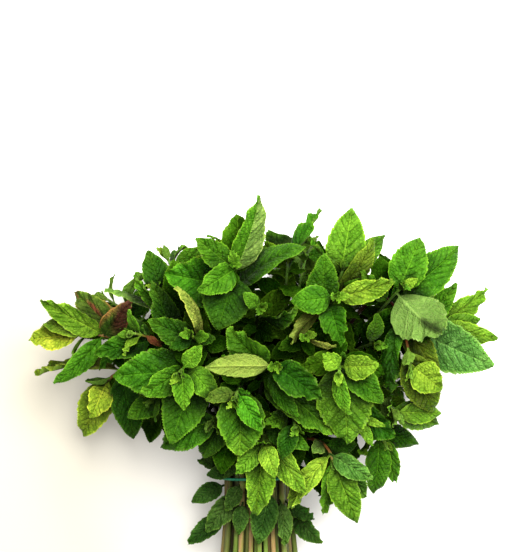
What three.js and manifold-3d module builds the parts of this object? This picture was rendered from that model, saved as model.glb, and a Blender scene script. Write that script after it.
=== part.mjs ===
// A bunch of fresh mint lying on its back, held by one thin green band.
// Millimetres, +Z up. The stems run along Y, cut ends at -Y and leafy head at +Y.
// Each leafy stem is one solid: a square stem with its leaves grown into it, in crossed pairs.
// A leaf that would cross its neighbours is bent or turned until it is clear of them.

import * as THREE from 'three';
import Module from 'manifold-3d';

const wasm = await Module();
wasm.setup();

// Sizes that drive the rest
const BLADE = 0.7; // thickness of a leaf blade
const GAP = 0.32; // clear space on each side of a leaf or stem
const OWN_GAP = 0.16; // clear space between leaves of the same stem
const FOOT_Y = -126; // the cut ends
const TIE_Z = 40; // height of the bundle's middle inside the band
const STEM_HALF = { foot: 1.9, tie: 1.75, tip: 0.85 }; // half the stem's corner-to-corner width
const NODE_HALF = 0.45; // half the length of stem that a leaf grows from
const LONGEST_STEP = 30; // longest straight length of a stem in the head
const BUNDLE = { x: 24, z: 15 }; // half width and half height of the bundle inside the band
const STEM_SPACING = 5.0; // between stem centres in the bundle
const FOOT_SPREAD = { x: 1.9, z: 1.1 }; // how far the bundle opens from the band to the cut ends
const BAND = { half: 0.9, y: 0, away: 1.7, corners: 5, sides: 26 };
const TRIES = 60; // poses that a leaf is offered before it is left out
const STEM_TRIES = 160; // lines that a stem is offered before it is left out

// Leaf pairs of a stem, counted from its tip. back is the distance from the tip,
// length a share of the sprig's leaf length, spread the angle away from the stem.
const PAIRS = [
  { back: 1.2, length: 0.3, spread: 24 },
  { back: 5, length: 0.52, spread: 50 },
  { back: 14, length: 0.82, spread: 68 },
  { back: 30, length: 1.0, spread: 80 },
  { back: 52, length: 1.0, spread: 84 },
  { back: 74, length: 0.95, spread: 80 },
];

// Half outlines of a blade from stem to tip: [share of the length, share of the full half width].
const SHOWING = {
  edge: [[0.18, 0.98], [0.46, 1.05], [0.485, 0.93], [0.72, 1.1], [0.745, 0.92]],
  rib: [0.44],
};
const HIDDEN = { edge: [[0.22, 1.0], [0.5, 1.06], [0.53, 0.92], [0.78, 1.08]], rib: [0.46] };
const YOUNG = { edge: [[0.3, 1.02], [0.7, 1.1]], rib: [] };

// The sprigs, as they show from above: where the tip is, which way it points, the length of
// its full leaves, how its pairs are turned, how many pairs it has, and the leaves that are aimed.
// An aimed leaf is [pair, side, where its tip reaches, width for its length, turn from face up,
// and 1 or -1 if it grows from the upper or the lower side of a lying stem]. bow, where it is given,
// is the share of its reach over which a stem turns into its way.
const SPRIGS = [
  { name: 'low_right', tip: [45, 14, 100], way: [0.1, -0.98, 0.1], leaf: 36, roll: 0, pairs: 5, aims: [
    [0, 0, [60, -23, 92], 0.44, 0], [0, 1, [40, -19, 86], 0.3, -20], [1, 0, [19, -15, 86], 0.32, 30],
    [1, 1, [69, 5, 103], 0.46, 0, 1], [2, 0, [66, -9, 82], 0.48, 0], [2, 1, [32, 21, 106], 0.6, 0]] },
  { name: 'low_right_edge', tip: [78, 24, 74], way: [0.5, -0.85, 0.1], leaf: 34, roll: 10, pairs: 4, aims: [
    [1, 0, [72, -9, 62], 0.42, 0], [1, 1, [87, 0, 60], 0.44, 0], [2, 0, [100, 22, 62], 0.42, 0]] },
  { name: 'low_centre', tip: [3, 26, 110], way: [0, -0.9, 0.4], leaf: 38, roll: 0, pairs: 4, aims: [
    [0, 0, [-13, 9, 114], 0.56, 0], [1, 0, [-2, -19, 88], 0.36, -15, -1], [2, 0, [28, -7, 98], 0.34, 0, -1],
    [2, 1, [30, 24, 112], 0.4, -25], [0, 1, [10, 8, 121], 0.5, 0]] },
  { name: 'right_front', tip: [61, 41, 112], way: [0.4, -0.6, 0.7], leaf: 30, roll: 45, pairs: 4, aims: [
    [0, 0, [75, 38, 118], 0.3, 0], [0, 1, [68, 26, 114], 0.36, 0], [2, 0, [82, 30, 104], 0.6, 0]] },
  { name: 'right_centre', tip: [47, 71, 138], way: [0.1, -0.2, 0.97], leaf: 34, roll: 0, pairs: 5, aims: [
    [0, 0, [38, 82, 142], 0.8, 0], [1, 0, [70, 75, 140], 0.66, 0], [2, 0, [73, 52, 128], 0.5, 0],
    [1, 1, [54, 46, 134], 0.36, 40], [2, 1, [58, 32, 122], 0.66, 0], [3, 1, [30, 94, 112], 0.5, 0]] },
  { name: 'left_drop', tip: [-28, 40, 106], way: [-0.7, -0.6, 0.35], leaf: 38, roll: 0, pairs: 4, aims: [
    [1, 0, [-59, 23, 94], 0.5, 0], [2, 1, [-34, 16, 88], 0.5, 0]] },
  { name: 'far_left_low', tip: [-97, 58, 48], way: [-0.6, -0.8, 0], leaf: 38, roll: 40, pairs: 5, aims: [
    [0, 0, [-104, 38, 58], 0.7, 0], [1, 0, [-112, 24, 32], 0.5, 10, -1], [2, 1, [-142, 65, 38], 0.24, 60],
    [2, 0, [-78, 24, 48], 0.48, 0]] },
  { name: 'centre_low', tip: [-13, 56, 132], way: [-0.1, -0.45, 0.88], leaf: 36, roll: 15, pairs: 5, aims: [
    [1, 0, [2, 36, 130], 0.5, 0], [1, 1, [-31, 54, 128], 0.5, 20], [2, 0, [-11, 20, 118], 0.72, 0],
    [2, 1, [-18, 82, 134], 0.5, 0]] },
  { name: 'centre_fan', tip: [10, 75, 134], way: [0.2, 0.1, 0.97], leaf: 36, roll: 0, pairs: 5, aims: [
    [1, 0, [-31, 74, 140], 0.34, 170], [1, 1, [37, 55, 136], 0.6, 0], [2, 0, [23, 44, 130], 0.36, 20],
    [2, 1, [-22, 92, 120], 0.62, 0], [3, 0, [45, 32, 116], 0.46, 0], [3, 1, [-4, 58, 124], 0.55, 0]] },
  { name: 'crown_left', tip: [-14, 133, 112], way: [0, 0.25, 0.97], leaf: 40, roll: 90, pairs: 5, aims: [
    [1, 0, [-37, 149, 112], 0.55, 0], [1, 1, [-35, 117, 122], 0.6, 0], [2, 0, [2, 175, 104], 0.44, 35],
    [2, 1, [-24, 95, 114], 0.8, 0], [3, 0, [26, 142, 96], 0.42, -60], [3, 1, [-56, 128, 98], 0.75, 10]] },
  { name: 'upper_centre', tip: [46, 115, 124], way: [0.2, 0.2, 0.95], leaf: 34, roll: 0, pairs: 5, aims: [
    [1, 0, [19, 112, 126], 0.62, 0], [1, 1, [81, 124, 116], 0.4, 20], [2, 0, [49, 86, 128], 0.56, 0],
    [2, 1, [20, 88, 132], 0.24, 165], [3, 1, [40, 140, 110], 0.5, 0]] },
  { name: 'right_arc', bow: 1, tip: [91, 70, 112], way: [0.1, -0.9, 0.4], leaf: 34, roll: 30, pairs: 5,
    aims: [[0, 0, [109, 59, 114], 0.9, 0], [2, 1, [76, 50, 100], 0.3, 50], [1, 1, [106, 44, 92], 0.5, 0, -1],
      [2, 0, [109, 66, 96], 0.4, 0, -1]] },
  { name: 'right_low', tip: [84, 44, 100], way: [0.75, -0.5, 0.4], leaf: 32, roll: 0, pairs: 5, aims: [
    [0, 0, [112, 43, 84], 0.42, 0], [1, 0, [112, 36, 76], 0.44, 0]] },
  { name: 'far_left_high', tip: [-113, 90, 52], way: [-1, -0.05, 0], leaf: 36, roll: 0, pairs: 5, aims: [
    [0, 0, [-144, 87, 52], 0.6, 20], [1, 1, [-134, 97, 58], 0.5, 30], [2, 0, [-128, 58, 56], 0.34, -40],
    [2, 1, [-136, 111, 62], 0.36, -10], [3, 1, [-118, 117, 22], 0.36, -10, -1],
    [3, 0, [-98, 68, 66], 0.4, 20, 1]] },
  { name: 'left_shoulder', tip: [-62, 118, 78], way: [-0.5, 0.6, 0.6], leaf: 34, roll: 20, pairs: 5, aims: [
    [1, 1, [-67, 143, 74], 0.6, 10], [2, 0, [-77, 126, 82], 0.36, -35], [3, 1, [-95, 119, 62], 0.24, 70],
    [3, 0, [-52, 136, 84], 0.55, 0]] },
  { name: 'left_upper', tip: [-40, 92, 116], way: [-0.3, 0.3, 0.9], leaf: 36, roll: 10, pairs: 5, aims: [
    [2, 0, [-48, 121, 120], 0.3, 62], [2, 1, [-66, 100, 108], 0.5, 0], [1, 1, [-52, 84, 118], 0.55, 0]] },
  { name: 'left_rosette', tip: [-46, 70, 126], way: [-0.2, -0.35, 0.9], leaf: 33, roll: 30, pairs: 5, aims: [
    [1, 0, [-43, 48, 128], 0.55, 0], [1, 1, [-33, 86, 128], 0.55, 0], [2, 0, [-70, 56, 118], 0.55, -30],
    [2, 1, [-26, 50, 122], 0.5, 0], [3, 0, [-52, 27, 112], 0.56, 0], [3, 1, [-84, 69, 104], 0.6, 0]] },
  { name: 'left_mid', tip: [-76, 92, 90], way: [-0.75, 0.15, 0.6], leaf: 33, roll: 0, pairs: 5, aims: [
    [3, 0, [-74, 113, 72], 0.4, 0], [2, 0, [-96, 82, 88], 0.46, 0]] },
  { name: 'left_low', tip: [-64, 52, 94], way: [-0.7, -0.5, 0.5], leaf: 33, roll: 20, pairs: 5, aims: [
    [2, 0, [-80, 40, 84], 0.5, 0], [2, 1, [-76, 60, 92], 0.5, 10]] },
  { name: 'centre_rosette', tip: [2, 108, 116], way: [0.1, 0.2, 0.97], leaf: 32, roll: 45, pairs: 5, aims: [
    [2, 0, [16, 100, 120], 0.4, 40], [3, 0, [10, 90, 112], 0.5, 0]] },
  { name: 'crown_right', tip: [51, 131, 96], way: [0.2, 0.9, 0.4], leaf: 36, roll: 0, pairs: 5, aims: [
    [1, 0, [57, 168, 92], 0.56, 0], [1, 1, [81, 153, 76], 0.38, 0, -1], [2, 0, [70, 149, 100], 0.38, 30],
    [2, 1, [38, 160, 88], 0.3, 60]] },
  { name: 'crown_middle', tip: [18, 136, 92], way: [0.05, 0.95, 0.3], leaf: 34, roll: 90, pairs: 5, aims: [
    [1, 0, [38, 168, 80], 0.28, -50], [1, 1, [10, 154, 84], 0.46, 0], [2, 0, [30, 155, 80], 0.34, 40, -1]] },
  { name: 'right_upper', tip: [86, 120, 104], way: [0.4, 0.5, 0.75], leaf: 38, roll: 20, pairs: 5, aims: [
    [1, 0, [98, 150, 98], 0.6, 0], [1, 1, [108, 92, 124], 0.76, 172], [2, 0, [118, 140, 84], 0.42, 30],
    [2, 1, [66, 134, 104], 0.42, 10]] },
  { name: 'far_right', tip: [114, 95, 70], way: [0.95, 0.05, 0.1], leaf: 38, roll: 0, pairs: 5, aims: [
    [0, 0, [137, 100, 72], 0.5, 0], [1, 0, [144, 119, 58], 0.34, 20, -1], [1, 1, [141, 81, 66], 0.36, -20],
    [2, 1, [139, 68, 88], 0.56, 0, 1], [2, 0, [122, 122, 78], 0.4, 0]] },
  { name: 'centre_mid', tip: [28, 92, 122], way: [0.1, 0.1, 0.98], leaf: 34, roll: 20, pairs: 5, aims: [
    [1, 0, [46, 85, 126], 0.26, 60], [2, 0, [49, 100, 106], 0.5, 0], [2, 1, [12, 84, 122], 0.5, 0]] },
  { name: 'right_shade', tip: [70, 86, 98], way: [0.4, 0.1, 0.9], leaf: 40, roll: 0, pairs: 5, aims: [
    [2, 1, [84, 108, 96], 0.46, 0], [1, 0, [70, 60, 88], 0.4, 0]] },
  { name: 'low_middle', tip: [22, 38, 118], way: [0.1, -0.5, 0.85], leaf: 34, roll: 20, pairs: 5, aims: [
    [1, 0, [14, 18, 116], 0.5, 0], [1, 1, [38, 26, 118], 0.5, 0], [2, 0, [4, 40, 122], 0.5, 0]] },
  // the side that lies on the surface, and the outer edge
  { name: 'under_left_high', tip: [-98, 112, 17], way: [-0.8, 0.5, -0.1], leaf: 36, roll: 0, pairs: 6, aims: [
    [2, 0, [-120, 88, -6], 0.5, 180]] },
  { name: 'under_left_top', tip: [-58, 138, 26], way: [-0.4, 0.9, 0], leaf: 38, roll: 30, pairs: 5, aims: [
    [2, 0, [-34, 142, -6], 0.5, 180]] },
  { name: 'under_top_left', tip: [-16, 150, 36], way: [-0.05, 1, 0], leaf: 38, roll: 0, pairs: 5, aims: [] },
  { name: 'under_top_right', tip: [32, 146, 20], way: [0.2, 1, -0.05], leaf: 38, roll: 40, pairs: 5, aims: [
    [2, 0, [58, 136, -6], 0.5, 180], [2, 1, [12, 160, -6], 0.5, 180]] },
  { name: 'under_right_top', tip: [78, 128, 34], way: [0.6, 0.8, 0], leaf: 38, roll: 10, pairs: 5, aims: [] },
  { name: 'under_right_high', tip: [110, 100, 17], way: [1, 0.2, -0.05], leaf: 36, roll: 0, pairs: 6, aims: [
    [2, 0, [126, 74, -6], 0.5, 180]] },
  { name: 'under_right_low', tip: [96, 52, 17], way: [0.9, -0.4, -0.05], leaf: 34, roll: 20, pairs: 6, aims: [
    [2, 0, [86, 20, -6], 0.5, 180]] },
  { name: 'under_left_low', tip: [-84, 46, 17], way: [-0.9, -0.4, -0.05], leaf: 34, roll: 0, pairs: 6, aims: [
    [2, 0, [-70, 18, -6], 0.5, 180], [3, 1, [-84, 74, -6], 0.5, 180]] },
  { name: 'under_middle_left', tip: [-46, 96, 6], way: [-0.3, 0.6, -0.1], leaf: 36, roll: 0, pairs: 5, aims: [
    [1, 0, [-30, 78, -5], 0.5, 180], [2, 1, [-64, 78, -6], 0.5, 180]] },
  { name: 'under_middle_right', tip: [44, 96, 6], way: [0.3, 0.6, -0.1], leaf: 36, roll: 0, pairs: 5, aims: [
    [1, 0, [30, 78, -5], 0.5, 180], [2, 1, [64, 78, -6], 0.5, 180]] },
];

// Single leaves left on the stems near and below the band: stem, height along Y, and the aim.
const LOW_LEAVES = [
  ['far_left_high', -6, [-42, -16, 44], 0.5, 10], ['far_left_high', -24, [-45, -44, 34], 0.42, 10, 1],
  ['left_low', -10, [-33, -34, 54], 0.5, 0], ['left_rosette', -4, [-20, -20, 60], 0.55, 0],
  ['left_rosette', -15, [-12, -34, 62], 0.5, 0], ['right_centre', -8, [0, -40, 62], 0.48, 0],
  ['right_arc', -14, [15, -44, 60], 0.4, 0], ['right_low', -15, [35, -26, 54], 0.5, 20],
  ['far_right', -24, [34, -48, 42], 0.5, 0], ['left_low', 10, [-33, 1, 58], 0.55, 0],
  ['far_left_low', 9, [-38, 11, 52], 0.5, 0], ['left_rosette', 14, [-22, 0, 64], 0.55, 0],
];
const DROOP = [0, -0.22, -0.1]; // added to the way a leaf points
const ROOT_HALF = 0.9; // half width of a leaf where it leaves the stem
const LEAF_WIDTH = 0.54; // full width of a leaf that isn't aimed, for its length

const GREEN = 0x3f8f1d;
const LEAF_FINISH = { color: GREEN, roughness: 0.55, metalness: 0 };
const BAND_FINISH = { color: 0x0f7a5c, roughness: 0.45, metalness: 0 };

const rad = THREE.MathUtils.degToRad;
const vec = (list) => new THREE.Vector3(...list);
const mix = (a, b, t) => a + (b - a) * t;
const cross = (a, b) => new THREE.Vector3().crossVectors(a, b);
const blend = (a, x, b, y) => a.clone().multiplyScalar(x).addScaledVector(b, y);

// A number from 0 to 1 that depends only on its keys, so that every leaf can be drawn again.
function chance(...keys) {
  let state = 20261;
  for (const key of [...keys, 3, 5, 7]) state = ((state + key) * 1664525 + 1013904223) % 4294967296;
  return state / 4294967296;
}
const sway = (...keys) => 2 * chance(...keys) - 1;

// Pushes the stems apart inside the band, so that each has its own place in the bundle.
function bundlePlaces() {
  const places = SPRIGS.map(({ tip, way }) => [tip[0] * 0.17, (tip[2] - 66) * 0.16 - way[1] * 5]);
  for (let round = 0; round < 240; round++) {
    for (let i = 0; i < places.length; i++)
      for (let j = i + 1; j < places.length; j++) {
        const dx = places[j][0] - places[i][0];
        const dz = places[j][1] - places[i][1];
        const apart = Math.sqrt(dx * dx + dz * dz) + 1e-6;
        if (apart >= STEM_SPACING) continue;
        const push = (STEM_SPACING - apart) / 2 / apart;
        places[i][0] -= dx * push;
        places[i][1] -= dz * push;
        places[j][0] += dx * push;
        places[j][1] += dz * push;
      }
    for (const place of places) {
      const [x, z] = [place[0] / BUNDLE.x, place[1] / BUNDLE.z];
      const pull = mix(1, Math.max(1, Math.sqrt(x * x + z * z)), 0.3);
      place[0] /= pull;
      place[1] /= pull;
    }
  }
  return places;
}

// The line of a stem for one try. q runs from -1 at the cut end through 0 at the band to 1 at the tip.
function stemPath(sprig, place, lowest, number, attempt) {
  const stray = (n) => (sway(number, attempt, n) * 45 * attempt) / STEM_TRIES;
  const tip = vec(sprig.tip);
  const way = vec(sprig.way).normalize();
  const atBand = new THREE.Vector3(place[0], BAND.y, TIE_Z + place[1]);
  const foot = {
    x: place[0] * FOOT_SPREAD.x,
    y: FOOT_Y - 4 * chance(number, 77),
    z: STEM_HALF.foot + (place[1] - lowest) * FOOT_SPREAD.z,
  };
  const reach = tip.distanceTo(atBand);
  const leaving = new THREE.Vector3(place[0] * 0.02, 1, place[1] * 0.02);
  const first = atBand.clone().addScaledVector(leaving, reach * 0.4);
  const last = tip.clone().addScaledVector(way, -reach * (sprig.bow ?? 0.4));
  first.add(new THREE.Vector3(stray(1), 0, stray(2)));
  last.add(new THREE.Vector3(stray(3), stray(4), stray(5)));
  last.z = Math.max(last.z, 8);
  const curve = new THREE.CubicBezierCurve3(atBand, first, last, tip);
  const turn = cross(new THREE.Vector3(0, 1, 0), way);
  if (turn.length() < 0.2) turn.set(0, 0, 1);
  const point = (q) => {
    if (q >= 0) return curve.getPoint(q);
    const [x, z] = [mix(atBand.x, foot.x, q * q), mix(atBand.z, foot.z, q * q)];
    return new THREE.Vector3(x, mix(atBand.y, foot.y, -q), z);
  };
  const along = (q) => {
    if (q > 0) return curve.getTangent(q);
    const [x, z] = [2 * q * (foot.x - atBand.x), 2 * q * (foot.z - atBand.z)];
    return new THREE.Vector3(x, atBand.y - foot.y, z).normalize();
  };
  return { point, along, turn, reach, depth: atBand.y - foot.y };
}

// One square section of a stem. Side c lies between corners c and c + 1.
function ringAt(path, sprig, q) {
  const along = path.along(q);
  const across = cross(path.turn, along).normalize();
  const up = cross(along, across);
  const [c, s] = [Math.cos(rad(sprig.roll)), Math.sin(rad(sprig.roll))];
  const half = q < 0 ? mix(STEM_HALF.tie, STEM_HALF.foot, -q) : mix(STEM_HALF.tie, STEM_HALF.tip, q);
  return { q, at: path.point(q), along, across: blend(across, c, up, s), up: blend(up, c, across, -s), half };
}

function ringCorner({ at, across, up, half }, c, grow = 0) {
  const turn = rad(45 + 90 * c);
  return blend(across, Math.cos(turn) * (half + grow), up, Math.sin(turn) * (half + grow)).add(at);
}

// The way that side c faces.
function sideWay({ across, up }, c) {
  const turn = rad(90 + 90 * c);
  return blend(across, Math.cos(turn), up, Math.sin(turn));
}

// Where a stem's leaves grow: { q, pair } for each pair, from the band's side to the tip.
function stemNodes(sprig, path) {
  const nodes = [];
  LOW_LEAVES.forEach(([name, y], n) => {
    if (name === sprig.name) nodes.push({ q: y / path.depth, pair: 10 + n, step: NODE_HALF / path.depth });
  });
  PAIRS.slice(0, sprig.pairs).forEach(({ back }, pair) => {
    if (back < path.reach - 22) nodes.push({ q: 1 - back / path.reach, pair, step: NODE_HALF / path.reach });
  });
  return nodes.sort((a, b) => a.q - b.q);
}

// The rings of a stem: one below and one above each node, and some between.
function stemRings(sprig, path, nodes) {
  const places = [-1, -0.66, -0.33, 0, 1];
  for (const { q, step } of nodes) places.push(q - step, q + step);
  places.sort((a, b) => a - b);
  const kept = [];
  for (const q of places) {
    const last = kept[kept.length - 1];
    if (q > 0 && (q - last) * path.reach > LONGEST_STEP) kept.push((q + last) / 2);
    kept.push(q);
  }
  const rings = kept.map((q) => ringAt(path, sprig, q));
  for (const node of nodes) node.ring = kept.indexOf(node.q - node.step);
  return rings;
}

function solid(points, faces) {
  const mesh = new wasm.Mesh({
    numProp: 3,
    vertProperties: new Float32Array(points.flat()),
    triVerts: new Uint32Array(faces.flat()),
  });
  return new wasm.Manifold(mesh);
}

// A closed square stem through its rings. open holds the sides, as ring and side, that leaves grow from.
function stemMesh(rings, grow = 0, open = []) {
  const points = rings.flatMap((ring) => [0, 1, 2, 3].map((c) => ringCorner(ring, c, grow).toArray()));
  if (!grow) for (const p of points) p[2] = Math.max(p[2], 0);
  const faces = [];
  for (let k = 0; k < rings.length - 1; k++)
    for (let c = 0; c < 4; c++) {
      if (open.some(([ring, side]) => ring === k && side === c)) continue;
      const [a, b] = [4 * k + c, 4 * k + ((c + 1) % 4)];
      faces.push([a, b, a + 4], [b, b + 4, a + 4]);
    }
  const end = points.length - 4;
  faces.push([0, 2, 1], [0, 3, 2], [end, end + 1, end + 2], [end, end + 2, end + 3]);
  return { points, faces };
}

// The pose of one leaf for one try: where it starts, the way it points, the way its upper side
// faces, its length and width, and how it bends, folds and twists.
function leafPose(leaf, attempt) {
  const { number, pair, side, start, out, along, aim } = leaf;
  const keys = [number, pair, side, attempt];
  const loose = Math.min(1, attempt / 16);
  const usual = leaf.length < 16 ? 16 : 36;
  const bend = rad(usual + 24 * sway(...keys, 1) + 20 * loose * sway(...keys, 2)) + 0.03;
  const fold = rad(15 + 10 * sway(...keys, 3));
  const twist = rad((10 + 26 * loose) * sway(...keys, 4));
  const way = new THREE.Vector3();
  const face = new THREE.Vector3();
  let length = leaf.length * (1 + 0.1 * sway(...keys, 5)) * (1 - 0.35 * loose * chance(...keys, 6));
  let wide = leaf.wide * (1 - 0.15 * loose * chance(...keys, 9));
  if (aim) {
    const stray = 18 * loose;
    way.set(sway(...keys, 7) * stray, sway(...keys, 8) * stray, sway(...keys, 10) * stray);
    way.add(vec(aim.at)).sub(start);
    length = (way.length() * bend) / 2 / Math.sin(bend / 2);
    way.normalize();
    face.set(0, 0, 1).addScaledVector(way, -way.z).normalize();
    face.applyAxisAngle(way, rad(aim.turn + (8 + 24 * loose) * sway(...keys, 11)));
    wide = aim.wide;
  } else {
    const turned = out.clone().applyAxisAngle(along, rad((10 + 36 * loose) * sway(...keys, 7)));
    const spread = rad(leaf.spread + (9 + 38 * loose) * sway(...keys, 8));
    way.copy(blend(along, Math.cos(spread), turned, Math.sin(spread)));
    face.copy(blend(along, Math.sin(spread), turned, -Math.cos(spread)));
    way.add(vec(DROOP)).normalize();
    face.addScaledVector(way, -face.dot(way)).normalize();
  }
  return { start, way, face, across: cross(way, face), length, half: (length * wide) / 2, bend, fold, twist };
}

// How wide a leaf is at a share of its length: rounded near the stem, drawn out to the tip.
const leafWidth = (s) => (s ** 0.62 * (1 - s) ** 0.95) / 0.3488;

// The leaf's line and frame at a share s of its length.
function leafFrame({ start, way, face, across, length, bend, twist }, s) {
  const lean = bend * (0.5 - s);
  const radius = length / bend;
  const at = start.clone().addScaledVector(way, radius * (Math.sin(bend / 2) - Math.sin(lean)));
  at.addScaledVector(face, radius * (Math.cos(lean) - Math.cos(bend / 2)));
  const normal = blend(face, Math.cos(lean), way, -Math.sin(lean));
  const [c, z] = [Math.cos(twist * s), Math.sin(twist * s)];
  return { at, out: blend(across, c, normal, z), up: blend(normal, c, across, -z) };
}

// A point of a blade: r mm to the side of the midrib at a share s of the length, and its two faces.
function leafPoint(pose, s, r, thick) {
  const { at, out, up } = leafFrame(pose, s);
  const [c, z] = [Math.cos(pose.fold), Math.sin(pose.fold)];
  const middle = at.addScaledVector(out, r * c).addScaledVector(up, Math.abs(r) * z);
  const tilt = blend(up, c, out, -Math.sign(r) * z);
  const pressed = middle.z < BLADE / 2;
  if (pressed) {
    middle.z = BLADE / 2; // flat on the surface that the bunch lies on
    const above = Math.sign(tilt.z || 1);
    const faces = [above, -above].map((h) => [middle.x, middle.y, middle.z + (h * thick) / 2]);
    return { faces, steep: Math.abs(tilt.z) < 0.6 };
  }
  const faces = [1, -1].map((h) => middle.clone().addScaledVector(tilt, (h * thick) / 2).toArray());
  if (thick === BLADE) for (const p of faces) p[2] = Math.max(p[2], 0);
  return { faces, steep: false };
}

// Splits one half of a blade between its rib and its edge into triangles.
function halfFaces(rib, edge, level) {
  const faces = [];
  let [i, j] = [0, 0];
  while (i < rib.length - 1 || j < edge.length - 1) {
    const ribNext = i < rib.length - 1 ? level[rib[i + 1]] : 2;
    const edgeNext = j < edge.length - 1 ? level[edge[j + 1]] : 2;
    if (edgeNext <= ribNext) {
      if (rib[i] !== edge[j] && rib[i] !== edge[j + 1]) faces.push([rib[i], edge[j], edge[j + 1]]);
      j++;
    } else {
      if (rib[i] !== edge[j] && rib[i + 1] !== edge[j]) faces.push([rib[i], edge[j], rib[i + 1]]);
      i++;
    }
  }
  return faces;
}

// A blade, open at its root. Its root corners come first: right below, left below, left above, right above.
function bladeMesh(pose, outline, thick, from = 0) {
  const [firstAt, firstWide] = outline.edge[0];
  const root = mix(ROOT_HALF, firstWide * pose.half * leafWidth(firstAt), from / firstAt);
  const marks = [[from, -root], [from, root], [1, 0], ...outline.rib.map((s) => [s, 0])];
  const side = (sign) =>
    outline.edge.map(([s, w]) => marks.push([s, sign * w * pose.half * leafWidth(s)]) - 1);
  const [left, right] = [side(-1), side(1)];
  const level = marks.map(([s]) => s);
  const ribs = outline.rib.map((s, n) => n + 3);
  const upper = [
    [0, 1, ribs.length ? 3 : 2],
    ...halfFaces([1, ...ribs, 2], [1, ...right, 2], level),
    ...halfFaces([0, ...left, 2], [0, ...ribs, 2], level),
  ];
  const spots = marks.map(([s, r]) => leafPoint(pose, s, r, thick));
  const points = [...spots.map(({ faces }) => faces[0]), ...spots.map(({ faces }) => faces[1])];
  const count = marks.length;
  const faces = upper.flatMap(([a, b, c]) => [[a, b, c], [a + count, c + count, b + count]]);
  const rim = [1, ...right, 2, ...left.reverse(), 0];
  for (let n = 0; n < rim.length - 1; n++) {
    const [a, b] = [rim[n], rim[n + 1]];
    faces.push([b, a, a + count], [b, a + count, b + count]);
  }
  return { points, faces, root: [1 + count, count, 0, 1], steep: spots.some(({ steep }) => steep) };
}

// A blade closed at its root, to try whether it is clear of the rest.
function bladeSolid({ points, faces, root: [a, b, c, d] }) {
  return solid(points, [...faces, [d, c, b], [d, b, a]]);
}

const guarded = (shape) => ({ shape, box: shape.boundingBox() });

function touches(a, b) {
  const [p, q] = [a.box, b.box];
  if (![0, 1, 2].every((n) => p.min[n] <= q.max[n] && q.min[n] <= p.max[n])) return false;
  const common = a.shape.intersect(b.shape);
  const found = !common.isEmpty();
  common.delete();
  return found;
}

// The band: a smooth loop round the bundle.
function bandMesh(grow = 0) {
  const points = [];
  const faces = [];
  const reach = BAND.away + STEM_HALF.tie;
  for (let k = 0; k < BAND.sides; k++) {
    const a = (2 * Math.PI * k) / BAND.sides;
    const [x, z] = [Math.cos(a) * (BUNDLE.x + reach), Math.sin(a) * (BUNDLE.z + reach) + TIE_Z];
    for (let c = 0; c < BAND.corners; c++) {
      const b = (2 * Math.PI * c) / BAND.corners;
      const out = (BAND.half + grow) * Math.cos(b);
      points.push([x + Math.cos(a) * out, BAND.y + Math.sin(b) * (BAND.half + grow), z + Math.sin(a) * out]);
      const next = (c + 1) % BAND.corners;
      const [p, q] = [k * BAND.corners, ((k + 1) % BAND.sides) * BAND.corners];
      faces.push([p + c, p + next, q + c], [p + next, q + next, q + c]);
    }
  }
  return { points, faces };
}

// Chooses each stem's line: the first try that is clear of the stems placed before it.
function growStems() {
  const places = bundlePlaces();
  const lowest = Math.min(...places.map((place) => place[1]));
  const stems = [];
  SPRIGS.forEach((sprig, number) => {
    for (let attempt = 0; attempt < STEM_TRIES; attempt++) {
      const path = stemPath(sprig, places[number], lowest, number, attempt);
      const nodes = stemNodes(sprig, path);
      const rings = stemRings(sprig, path, nodes);
      const grown = stemMesh(rings, GAP);
      const guard = guarded(solid(grown.points, grown.faces));
      if (stems.some((other) => touches(guard, other.guard))) continue;
      const bare = stemMesh(rings);
      const plain = guarded(solid(bare.points, bare.faces));
      stems.push({ sprig, number, nodes, rings, guard, plain, leaves: [] });
      return;
    }
  });
  return stems;
}

// The sides of a node that its two leaves grow from: aimed ones take the side nearest their aim.
function nodeSides(node, ring, aims) {
  const first = node.pair < 10 ? node.pair % 2 : 0;
  const sides = [first, first + 2];
  const taken = [];
  aims.forEach((aim, n) => {
    if (!aim) return;
    const goal = vec(aim.at).sub(ring.at).normalize();
    goal.z += aim.lean;
    const free = [0, 1, 2, 3].filter((c) => !taken.includes(c));
    free.sort((a, b) => sideWay(ring, b).dot(goal) - sideWay(ring, a).dot(goal));
    sides[n] = free[0];
    taken.push(free[0]);
  });
  if (aims[0] && !aims[1]) sides[1] = (sides[0] + 2) % 4;
  if (aims[1] && !aims[0]) sides[0] = (sides[1] + 2) % 4;
  return sides;
}

// Every leaf that the stems should carry, the aimed ones first. A low leaf grows alone at its node.
function wantedLeaves(stems) {
  const leaves = [];
  for (const stem of stems) {
    const { sprig, number, nodes, rings } = stem;
    for (const node of nodes) {
      const low = node.pair >= 10 && LOW_LEAVES[node.pair - 10];
      const { length, spread } = low ? { length: 1, spread: 70 } : PAIRS[node.pair];
      const [below, above] = [rings[node.ring], rings[node.ring + 1]];
      const ring = { ...below, at: below.at.clone().lerp(above.at, 0.5) };
      const aimed = [0, 1].map((side) => {
        const own = sprig.aims.find(([p, s]) => p === node.pair && s === side);
        const found = low ? !side && low : own;
        return found ? { at: found[2], wide: found[3], turn: found[4], lean: found[5] ?? 0 } : null;
      });
      nodeSides(node, ring, aimed).forEach((corner, side) => {
        if (low && side) return;
        const out = sideWay(ring, corner);
        const start = ring.at.clone().addScaledVector(out, ring.half * Math.SQRT1_2);
        leaves.push({
          stem, number, pair: node.pair, side, ring: node.ring, corner, start, out, along: ring.along,
          aim: aimed[side], spread, length: length * sprig.leaf, wide: LEAF_WIDTH,
        });
      });
    }
  }
  return leaves.sort((a, b) => Boolean(b.aim) - Boolean(a.aim) || a.pair - b.pair);
}

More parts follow.
